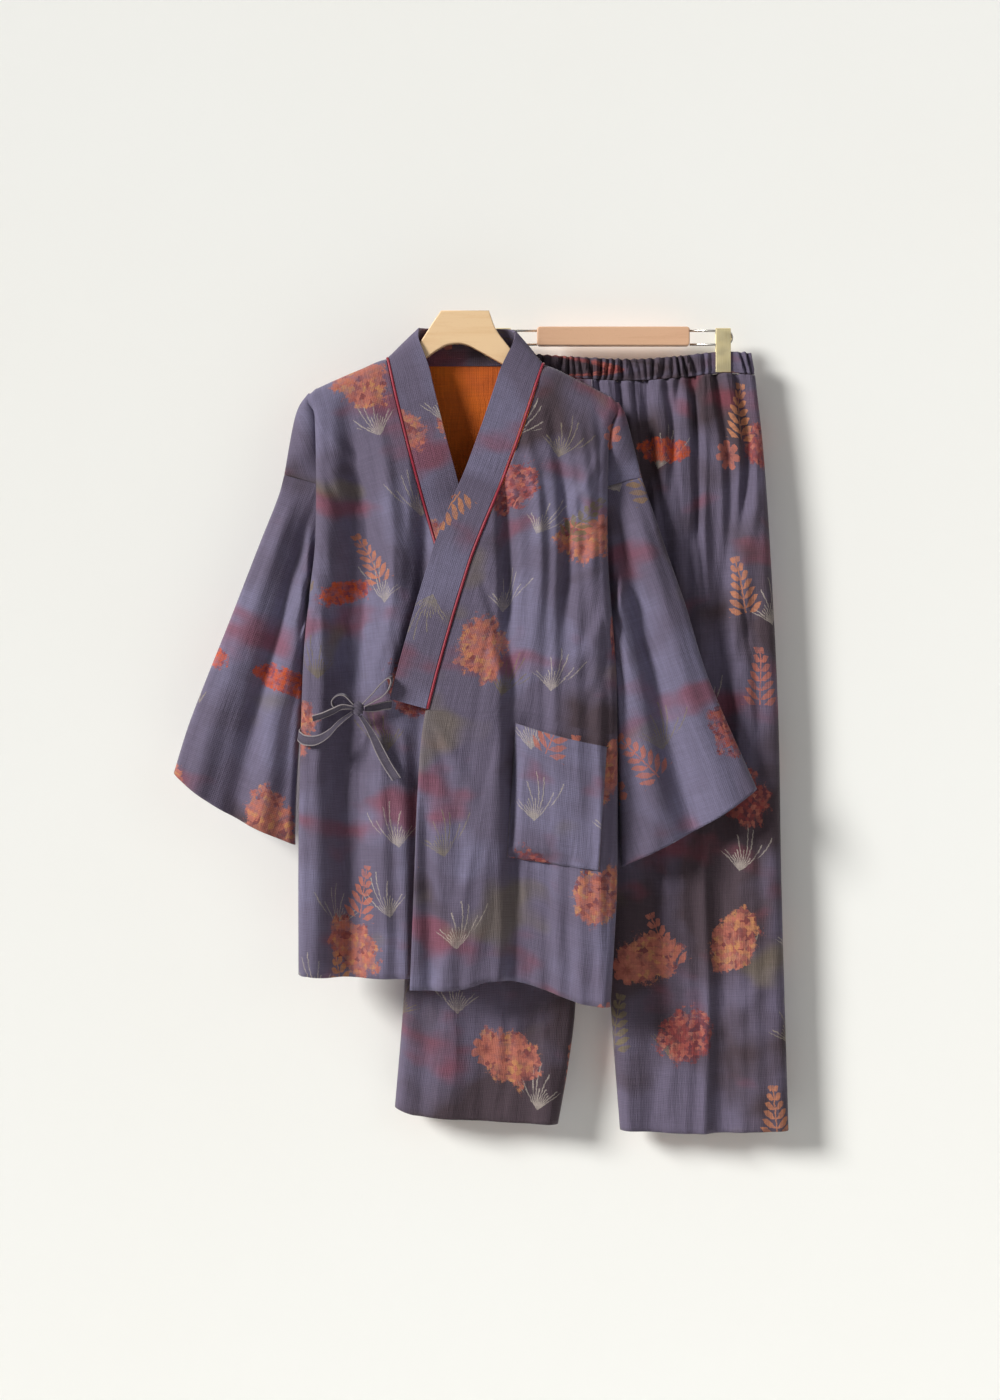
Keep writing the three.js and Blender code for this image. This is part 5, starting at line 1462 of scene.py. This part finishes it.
class CLOTH_PG_sizes(bpy.types.PropertyGroup):
    """Sizes of the dressed cloth"""

    gauze: length("Gauze", 0.0009, "Thickness of the double gauze")
    band: length("Neckband", 0.0026, "Thickness of the folded neckband")
    tie: length("Tie", 0.0014, "Thickness of a stitched tie")
    grid: length("Grid", 0.004, "Spacing of the cloth's faces")


def dye(name, code, description):
    """A colour setting that holds an sRGB hex value."""
    return bpy.props.StringProperty(name=name, description=description, default=code, maxlen=7)


class CLOTH_PG_dyes(bpy.types.PropertyGroup):
    """Colours of the cloth, as sRGB hex values"""

    ground: dye("Ground", "#5e556b", "Slate-purple ground of the print")
    ground_light: dye("Ground, light", "#6b657f", "Where the ground is palest")
    ground_dark: dye("Ground, dark", "#41323b", "Where the ground is darkest")
    salmon: dye("Salmon", "#ab6252", "Most of the flowers and leaves")
    orange: dye("Orange", "#b57a50", "The sprigs")
    bright: dye("Bright orange", "#b84a20", "The low brush strokes")
    wash_red: dye("Red wash", "#7e3442", "Soft dark red washes")
    wash_olive: dye("Olive wash", "#6d6148", "Soft olive washes")
    line: dye("Drawn line", "#a59a92", "Pale drawn grass")
    tie: dye("Tie", "#574f60", "The ties")
    tie_dark: dye("Tie, dark", "#393240", "Shaded blotches of the ties")
    tie_edge: dye("Tie, edge", "#a59b9b", "The ties' rubbed edges")
    piping: dye("Piping", "#9c1c38", "Crimson piping")
    piping_dark: dye("Piping, dark", "#7c1428", "Darker parts of the piping")


# ------------------------------------------------------------------ pieces
# About how wide and long the cloth between the side folds is, for the number of its faces.
SPREAD = {"front": (235, 740), "back": (390, 720)}
# How far the edges of the folded and the metal pieces are rounded.
ROUNDED = {"neckband": 1.0, "tie": 0.35, "clip": 0.45}
# What a pocket's and a waistband's turned cloth adds to one layer.
TURNED = {"pocket": 0.4, "waistband": 0.3}
# Room in a clip for the waistband and the wire, and between the rail's end and a wire.
CLIP_SLACK = 0.55
WIRE_GAP = 0.1


def front(side):
    """One front of the jacket."""
    wide, long = SPREAD["front"]
    sizes = bpy.context.scene.pajama_sizes
    pitch = sizes.grid / MM
    columns = np.concatenate([evenly(0, 1, int(wide / pitch)), evenly(1, 2, 36)[1:]])
    rows = grid_rows(side, int(long / pitch))
    piece = cloth(
        f"front_{side}", columns, rows, lambda s, row: front_point(side, s, row),
        sizes.gauze / MM, garment_cloth(), flip=side == "left",
        origin=(2.35, 3.1) if side == "left" else (0.62, 1.4), middle=0.0,
    )
    return stands_for(piece, f"jacket_front_{side}")


class CLOTH_OT_jacket_body(bpy.types.Operator):
    """Make the jacket's two fronts and its back"""

    bl_idname = "pajama.jacket_body"
    bl_label = "Jacket body"

    def execute(self, context):
        sizes = context.scene.pajama_sizes
        pitch = sizes.grid / MM
        for side, area in (("left", 0.19), ("right", 0.183)):
            front(side)
        wide, long = SPREAD["back"]
        round_side = evenly(1, 2, 30)[1:]
        columns = np.concatenate([-round_side[::-1], evenly(-1, 1, int(wide / pitch)), round_side])
        rows = grid_rows("right", int(long / pitch))
        piece = cloth(
            "back", columns, rows, back_point, sizes.gauze / MM, garment_cloth(), origin=(5.5, 0.8)
        )
        stands_for(piece, "jacket_back")
        return {"FINISHED"}


def unrolled_sleeve(side):
    """Flat places of a sleeve: across from its outer fold, one way on the front and the other
    way behind, and down along that fold."""
    table = SLEEVE_OUTER[side]
    first = np.array((table["x"][0], table["z"][0])) * MM
    ahead = np.array((table["x"][-1], table["z"][-1])) * MM - first
    ahead /= np.linalg.norm(ahead)

    def unroll(around, down, points):
        x, z = points[..., 0] - first[0], points[..., 2] - first[1]
        across = np.abs(x * ahead[1] - z * ahead[0])
        return np.where(around <= 1, 1, -1) * SIGN[side] * -across, x * ahead[0] + z * ahead[1]

    return unroll


class CLOTH_OT_sleeves(bpy.types.Operator):
    """Make the two sleeves"""

    bl_idname = "pajama.sleeves"
    bl_label = "Sleeves"

    def execute(self, context):
        sizes = context.scene.pajama_sizes
        half = (1 - np.cos(evenly(0, math.pi, 48))) / 2
        half = lerp(half, evenly(0, 1, 48), 0.5)
        around = np.concatenate([half, 1 + half[1:]])
        cuts = (("left", 0.38, 0.45, 0.119), ("right", 0.34, 0.43, 0.109))
        for side, width, length, area in cuts:
            piece = cloth(
                f"sleeve_{side}_cloth", around, evenly(0, 1, 110),
                lambda s, t, side=side: sleeve_point(side, s, t),
                sizes.gauze / MM, garment_cloth(), flip=side == "right", closed=True,
                origin=(1.9, 7.3) if side == "left" else (4.2, 5.1),
                unrolled=unrolled_sleeve(side),
            )
            stands_for(piece, f"sleeve_{side}")
        return {"FINISHED"}


class CLOTH_OT_neckband(bpy.types.Operator):
    """Make the neckband and its piping"""

    bl_idname = "pajama.neckband"
    bl_label = "Neckband and piping"

    def execute(self, context):
        sizes = context.scene.pajama_sizes
        edge, across, outward, width = band_lines()
        count = np.arange(len(edge))
        # Round the back neck the band is sewn over the back's edge, and the piping lies outside.
        first, last = 5 * (len(BAND_ROWS) + 1), 5 * (len(BAND_ROWS) + 25)
        bound = step(count, first, first + 12) * (1 - step(count, last - 12, last))

        def place(s, k):
            k = k.astype(int)
            start = lerp(PIPING_SPACE, -0.5, bound[k])
            reach = lerp(start, PIPING_SPACE + width[k], s)
            crown = 0.35 * np.sin(np.pi * s) + 0.25 * np.sin(k / 9.0) * s
            stood = (BAND_PROUD + crown)[..., None] * outward[k]
            x, y, z = np.moveaxis(edge[k] + reach[..., None] * across[k] + stood, -1, 0)
            return x, np.where(k > last, tucked(x, y, z, TUCK_GAP["neckband"]), y), z

        columns = np.concatenate([[0, 0.02], evenly(0.06, 0.94, 10), [0.98, 1]])
        piece = cloth(
            "neckband_cloth", columns, count, place,
            sizes.band / MM, garment_cloth()[:1], flip=True, origin=(8.4, 2.6),
        )
        rounded(piece, ROUNDED["neckband"])
        stands_for(piece, "neckband")
        line = edge + across * (PIPING_SPACE / 2) + outward * lerp(0.3, 2.6, bound)[:, None]
        satin = [finish("crimson satin piping", piping_satin)]
        cord = tube("piping_cord", line, PIPING_RADIUS + 0.3, satin)
        stands_for(cord, "neckband_piping")
        return {"FINISHED"}


class CLOTH_OT_pocket(bpy.types.Operator):
    """Make the patch pocket"""

    bl_idname = "pajama.pocket"
    bl_label = "Pocket"

    def execute(self, context):
        sizes = context.scene.pajama_sizes
        piece = cloth(
            "patch_pocket", evenly(0, 1, 34), evenly(0, 1, 46), pocket_point,
            sizes.gauze / MM + TURNED["pocket"], garment_cloth(), flip=True, origin=(3.27, 9.4),
        )
        stands_for(piece, "pocket")
        return {"FINISHED"}


class CLOTH_OT_bow(bpy.types.Operator):
    """Make the ties, the bow's loops and tails, and its knot"""

    bl_idname = "pajama.bow"
    bl_label = "Tied bow"

    def execute(self, context):
        sizes = context.scene.pajama_sizes
        finishes = [finish("plain slate cotton", plain_cotton)]
        for name, ribbon in RIBBONS.items():
            piece = self.ribbon(name, ribbon, sizes.tie / MM, finishes)
            stands_for(piece, name)
        self.knot(finishes)
        return {"FINISHED"}

    def ribbon(self, name, ribbon, thick, finishes):
        """A flat ribbon along a table's line, as wide as its half widths say."""
        table = {**ribbon, "k": np.arange(len(ribbon["x"]))}
        width = np.array(ribbon["across"], float)
        width /= np.linalg.norm(width)

        def place(s, k):
            half = read(table, "k", "half", k)
            return tuple(read(table, "k", key, k) + w * s * half for key, w in zip("xyz", width))

        def flat(s, down, points):
            return s * TIE_HALF * MM, down

        steps = len(ribbon["x"]) - 1
        piece = cloth(
            name + "_ribbon", evenly(-1, 1, 8), evenly(0, steps, 8 * steps), place,
            thick, finishes, unrolled=flat, centred=True,
        )
        rounded(piece, ROUNDED["tie"], 2)
        return piece

    def knot(self, finishes):
        """The knot: a rounded wad of cloth with slanting wraps round it."""
        shape = bmesh.new()
        layer = shape.loops.layers.uv.new("cloth")
        bmesh.ops.create_uvsphere(shape, u_segments=40, v_segments=26, radius=1)
        for vert in shape.verts:
            d = vert.co.copy()
            wrap = math.sin(5.2 * (d.z + 0.5 * d.x) + 0.4) ** 2
            d *= 0.9 + 0.16 * wrap * (1 - abs(d.y) * 0.2)
            spot = [m + h * c for m, h, c in zip(KNOT["middle"], KNOT["half"], d)]
            vert.co = Vector(spot) * MM
        for face in shape.faces:
            face.smooth = True
            for loop in face.loops:
                loop[layer].uv = (0.001 + 0.1 * (loop.vert.co.x + 0.1305), loop.vert.co.z)
        piece = solid("knot_wrapped", shape, finishes)
        stands_for(piece, "bow_knot")


class CLOTH_OT_trousers(bpy.types.Operator):
    """Make the trousers' fronts and backs"""

    bl_idname = "pajama.trousers"
    bl_label = "Trousers"

    def execute(self, context):
        sizes = context.scene.pajama_sizes
        edge = np.array([0, 0.004, 0.01, 0.018, 0.028, 0.04])
        columns = np.concatenate([edge, evenly(0.052, 0.948, 84), 1 - edge[::-1]])
        rows = np.concatenate([evenly(0, 0.16, 44), evenly(0.16, 1, 130)[1:]])
        for n, side in enumerate(("left", "right")):
            for face, word in ((-1, "front"), (1, "back")):
                piece = cloth(
                    f"leg_{word}_{side}", columns, rows,
                    lambda u, t, side=side, face=face: leg_point(side, face, u, t),
                    sizes.gauze / MM, garment_cloth("trousers"),
                    flip=(side == "left") == (face < 0),
                    origin=(10.3 + 1.9 * n + face, 1.2 + 2.7 * n),
                )
                stands_for(piece, f"trousers_{word}_{side}")
        return {"FINISHED"}


class CLOTH_OT_waistband(bpy.types.Operator):
    """Make the gathered waistband"""

    bl_idname = "pajama.waistband"
    bl_label = "Waistband"

    def execute(self, context):
        sizes = context.scene.pajama_sizes
        around = evenly(0, 2 * WAISTBAND["gathers"], 10 * WAISTBAND["gathers"])
        piece = cloth(
            "waistband_gathered", around, evenly(0, 1, 14), waist_point,
            sizes.gauze / MM + TURNED["waistband"], garment_cloth("trousers")[:1],
            flip=True, closed=True, origin=(12.9, 6.1),
        )
        stands_for(piece, "waistband")
        return {"FINISHED"}


def board(name, outline, finishes):
    """The hanger's board: an outline in x and z, in millimetres, with rounded edges."""
    thick = HANGER["thick"]
    shape = plate([(x, -thick / 2, z) for x, z in outline], (0, thick, 0))
    rims = [
        edge for edge in shape.edges if abs(edge.verts[0].co.y - edge.verts[1].co.y) < 1e-7
    ]
    round_over = {"segments": 4, "profile": 0.5, "affect": "EDGES", "material": -1}
    bmesh.ops.bevel(shape, geom=rims, offset=HANGER["rounded"] * MM, **round_over)
    for item in shape.faces:
        item.smooth = len(item.verts) < 5
    return solid(name, shape, finishes)


class CLOTH_OT_jacket_hanger(bpy.types.Operator):
    """Make the shaped wooden hanger"""

    bl_idname = "pajama.jacket_hanger"
    bl_label = "Jacket hanger"

    def execute(self, context):
        def arm(xs):
            """The arm's upper side, just under the cloth of the shoulder."""
            return [(x, float(shoulder_z(x)) - HANGER["clearance"]) for x in xs]

        def line(table, xs):
            """The places of a table's line at some x."""
            return [(x, float(read(table, "x", "z", x))) for x in xs]

        def end(x, out):
            """The arm's rounded end, from its top down."""
            top = arm([x])[0][1]
            corners = ((-1, -2), (0, -6), (0, -12), (-1.5, -16))
            return [(x + out * aside, top + drop) for aside, drop in corners]

        left, right = HANGER["left"], HANGER["right"]
        under = [*evenly(179, 49, 16), *evenly(45, -46, 30), *evenly(-52, -183, 16)]
        outline = [
            *line(HANGER_TOP["left"], evenly(30, 102, 24)),
            *arm(evenly(114, left - 4, 12)),
            *end(left, 1),
            *line(HANGER_UNDER, under),
            *reversed(end(right, -1)),
            *arm(evenly(right + 4, -114, 12)),
            *line(HANGER_TOP["right"], evenly(-101, -30, 24)),
        ]
        name = "varnished pale beech"
        piece = board(
            "hanger_board", outline, [finish(name, beech, name, "#eecba0", "#e2b888", "#c4976a")]
        )
        stands_for(piece, "jacket_hanger")
        return {"FINISHED"}


class CLOTH_OT_clip_hanger(bpy.types.Operator):
    """Give the imported rail its beech finish, and make the clip hanger's wires and clips"""

    bl_idname = "pajama.clip_hanger"
    bl_label = "Clip hanger"

    def execute(self, context):
        finishes = [
            finish(name, maker, name, *details)
            for name, maker, *details in (
                ("varnished pink beech", beech, "#deb190", "#d0a07f", "#b0805f"),
                ("nickel plated wire", metal, "#d9d6d0", "#b7b3ac", 0.24, (1, 20, 20)),
                ("satin brass strip", metal, "#fbeec6", "#ead9a6", 0.5, (14, 14, 1)),
            )
        ]
        wood, steel, brass = ([made] for made in finishes)
        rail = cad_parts["clip_hanger_rail"]
        rail.data.materials.clear()
        rail.data.materials.append(wood[0])
        for side, out in SIGN.items():
            self.wire(side, out, steel)
            self.clip(side, RAIL["x"] + out * CLIP["middle"], brass)
        return {"FINISHED"}

    def wire(self, side, out, finishes):
        """A wire out of the rail's end and bent back into it."""
        start = RAIL["x"] + out * (RAIL["length"] / 2 + WIRE_GAP)
        radius = (RODS["upper"] - RODS["lower"]) / 2
        bend = RAIL["x"] + out * (RODS["reach"] - radius)
        middle = (RODS["upper"] + RODS["lower"]) / 2
        turns = evenly(math.pi / 2, -math.pi / 2, 20)
        bent = [(bend + out * radius * math.cos(a), middle + radius * math.sin(a)) for a in turns]
        line = [
            (x, LEG_PLANE, z) for x, z in ((start, RODS["upper"]), *bent, (start, RODS["lower"]))
        ]
        piece = tube(f"clip_wire_{side}_round", line, RODS["radius"], finishes)
        stands_for(piece, f"clip_wire_{side}")

    def clip(self, side, x, finishes):
        """A strip of metal bent over the wires, with its open side down."""
        inside = CLIP["grip"] + CLIP_SLACK
        outside = inside + CLIP["plate"]
        top, bottom = CLIP["top"] - outside, CLIP["bottom"]
        turns = evenly(math.pi, 0, 16)
        profile = [
            (-outside, bottom),
            *((outside * math.cos(a), top + outside * math.sin(a)) for a in turns),
            (outside, bottom),
            (inside, bottom),
            *((inside * math.cos(a), top + inside * math.sin(a)) for a in turns[::-1]),
            (-inside, bottom),
        ]
        left = x - CLIP["width"] / 2
        shape = plate([(left, LEG_PLANE + y, z) for y, z in profile], (CLIP["width"], 0, 0))
        piece = rounded(solid(f"clip_{side}_strip", shape, finishes), ROUNDED["clip"], 2)
        stands_for(piece, f"clip_{side}")


# ------------------------------------------------------------------ stage
# In metres.
WALL = {"y": 0.07, "top": 1.6, "floor": -3.4, "front": -3.6, "half": 4.0, "bend": 0.25}
LENS = {"sensor": 36, "focal": 61.71, "place": (0.04375, -3.0, -0.48625)}


def plain_wall():
    """Matt white paint. It isn't seen from behind, so that the set shows from every side."""
    made, tree, shader = material("matt white paint", 0.95)
    place = add(tree, "TexCoord", out="Object")
    mottle = add(tree, "TexNoise", {"Vector": place, "Scale": 2.0, "Detail": 2.0})
    colour = add(tree, "ValToRGB", mottle, stops=("#f5f5f3", "#f4f3f0"))
    tree.links.new(colour, shader.inputs["Base Color"])
    clear = add(tree, "BsdfTransparent")
    behind = add(tree, "NewGeometry", out="Backfacing")
    seen = add(tree, "MixShader", {0: behind, 1: shader.outputs[0], 2: clear})
    tree.links.new(seen, tree.nodes["Material Output"].inputs["Surface"])
    return made


class CLOTH_OT_stage(bpy.types.Operator):
    """Make the wall, the floor, the lights and the camera"""

    bl_idname = "pajama.stage"
    bl_label = "Stage"

    def execute(self, context):
        self.wall()
        self.lamp("key", "SUN", 3.95, "#fffffb", (-1.0, -0.66, 0.56), angle=math.radians(18))
        disk = {"shape": "DISK"}
        fill, behind = Vector((2.4, -3.0, 0.4)), Vector((0.4, 3.2, 0.9))
        toward = fill - Vector((0, 0, -0.5))
        self.lamp("fill", "AREA", 8, "#f8f8ff", toward, fill, size=2.6, **disk)
        toward = behind - Vector((0, 0.03, -0.5))
        self.lamp("back light", "AREA", 85, "#fff8f0", toward, behind, size=2.0, **disk)
        world = bpy.data.worlds.new("pale room")
        world.use_nodes = True
        shade = world.node_tree.nodes["Background"]
        shade.inputs["Color"].default_value = linear("#fffefc")
        shade.inputs["Strength"].default_value = 0.21
        context.scene.world = world
        context.scene.view_settings.view_transform = "Standard"
        self.camera(context)
        return {"FINISHED"}

    def wall(self):
        """A wall that curves into a floor."""
        bend, floor = WALL["bend"], WALL["floor"]
        middle_y, middle_z = WALL["y"] - bend, floor + bend
        turns = [math.radians(a) for a in range(0, 91, 10)]
        curve = [(middle_y + bend * math.cos(a), middle_z - bend * math.sin(a)) for a in turns]
        shape = bmesh.new()
        profile = [
            shape.verts.new((WALL["half"], y, z))
            for y, z in ((WALL["y"], WALL["top"]), *curve, (WALL["front"], floor))
        ]
        edges = [shape.edges.new(pair) for pair in zip(profile, profile[1:])]
        made = bmesh.ops.extrude_edge_only(shape, edges=edges)["geom"]
        across = (-2 * WALL["half"], 0, 0)
        bmesh.ops.translate(shape, verts=kept(made, bmesh.types.BMVert), vec=across)
        shape.normal_update()
        # It shows from its front alone, so that side has to face the set.
        if sum(face.normal.y for face in shape.faces) > 0:
            bmesh.ops.reverse_faces(shape, faces=shape.faces)
        for face in shape.faces:
            face.smooth = True
        mesh = bpy.data.meshes.new("wall_and_floor")
        shape.to_mesh(mesh)
        shape.free()
        mesh.materials.append(finish("matt white paint", plain_wall))
        wall = bpy.data.objects.new("wall_and_floor", mesh)
        # It casts no shadow, so the light behind it reaches the set's back.
        wall.visible_shadow = False
        bpy.context.scene.collection.objects.link(wall)

    def lamp(self, name, kind, power, code, toward, place=(0, 0, 0), **settings):
        """A lamp at a place, whose back is turned toward a direction."""
        lamp = bpy.data.lights.new(name, kind)
        for key, value in settings.items():
            setattr(lamp, key, value)
        lamp.energy = power
        lamp.color = linear(code)[:3]
        holder = bpy.data.objects.new(name, lamp)
        holder.location = place
        holder.rotation_euler = Vector(toward).to_track_quat("Z", "Y").to_euler()
        bpy.context.scene.collection.objects.link(holder)

    def camera(self, context):
        lens = bpy.data.cameras.new("camera")
        lens.sensor_width, lens.lens = LENS["sensor"], LENS["focal"]
        holder = bpy.data.objects.new("camera", lens)
        holder.location = LENS["place"]
        holder.rotation_euler = (math.pi / 2, 0, 0)
        context.scene.collection.objects.link(holder)
        context.scene.camera = holder


class CLOTH_PT_set(bpy.types.Panel):
    """The pieces of the pajama set"""

    bl_label = "Pajama set"
    bl_space_type = "VIEW_3D"
    bl_region_type = "UI"
    bl_category = "Pajama set"

    def draw(self, context):
        for owner in (context.scene.pajama_sizes, context.scene.pajama_dyes):
            for name in owner.__annotations__:
                self.layout.prop(owner, name)
        for piece in OPERATORS:
            self.layout.operator(piece.bl_idname)


GROUPS = (CLOTH_PG_sizes, CLOTH_PG_dyes)
OPERATORS = (
    CLOTH_OT_jacket_body,
    CLOTH_OT_sleeves,
    CLOTH_OT_neckband,
    CLOTH_OT_pocket,
    CLOTH_OT_bow,
    CLOTH_OT_trousers,
    CLOTH_OT_waistband,
    CLOTH_OT_jacket_hanger,
    CLOTH_OT_clip_hanger,
    CLOTH_OT_stage,
)


def register():
    for group in (*GROUPS, *OPERATORS, CLOTH_PT_set):
        bpy.utils.register_class(group)
    bpy.types.Scene.pajama_sizes = bpy.props.PointerProperty(type=CLOTH_PG_sizes)
    bpy.types.Scene.pajama_dyes = bpy.props.PointerProperty(type=CLOTH_PG_dyes)


def unregister():
    del bpy.types.Scene.pajama_dyes
    del bpy.types.Scene.pajama_sizes
    for group in reversed((*GROUPS, *OPERATORS, CLOTH_PT_set)):
        bpy.utils.unregister_class(group)


def main():
    """Registers the add-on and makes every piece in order."""
    register()
    for piece in OPERATORS:
        family, name = piece.bl_idname.split(".")
        getattr(getattr(bpy.ops, family), name)()


if __name__ == "__main__":
    main()
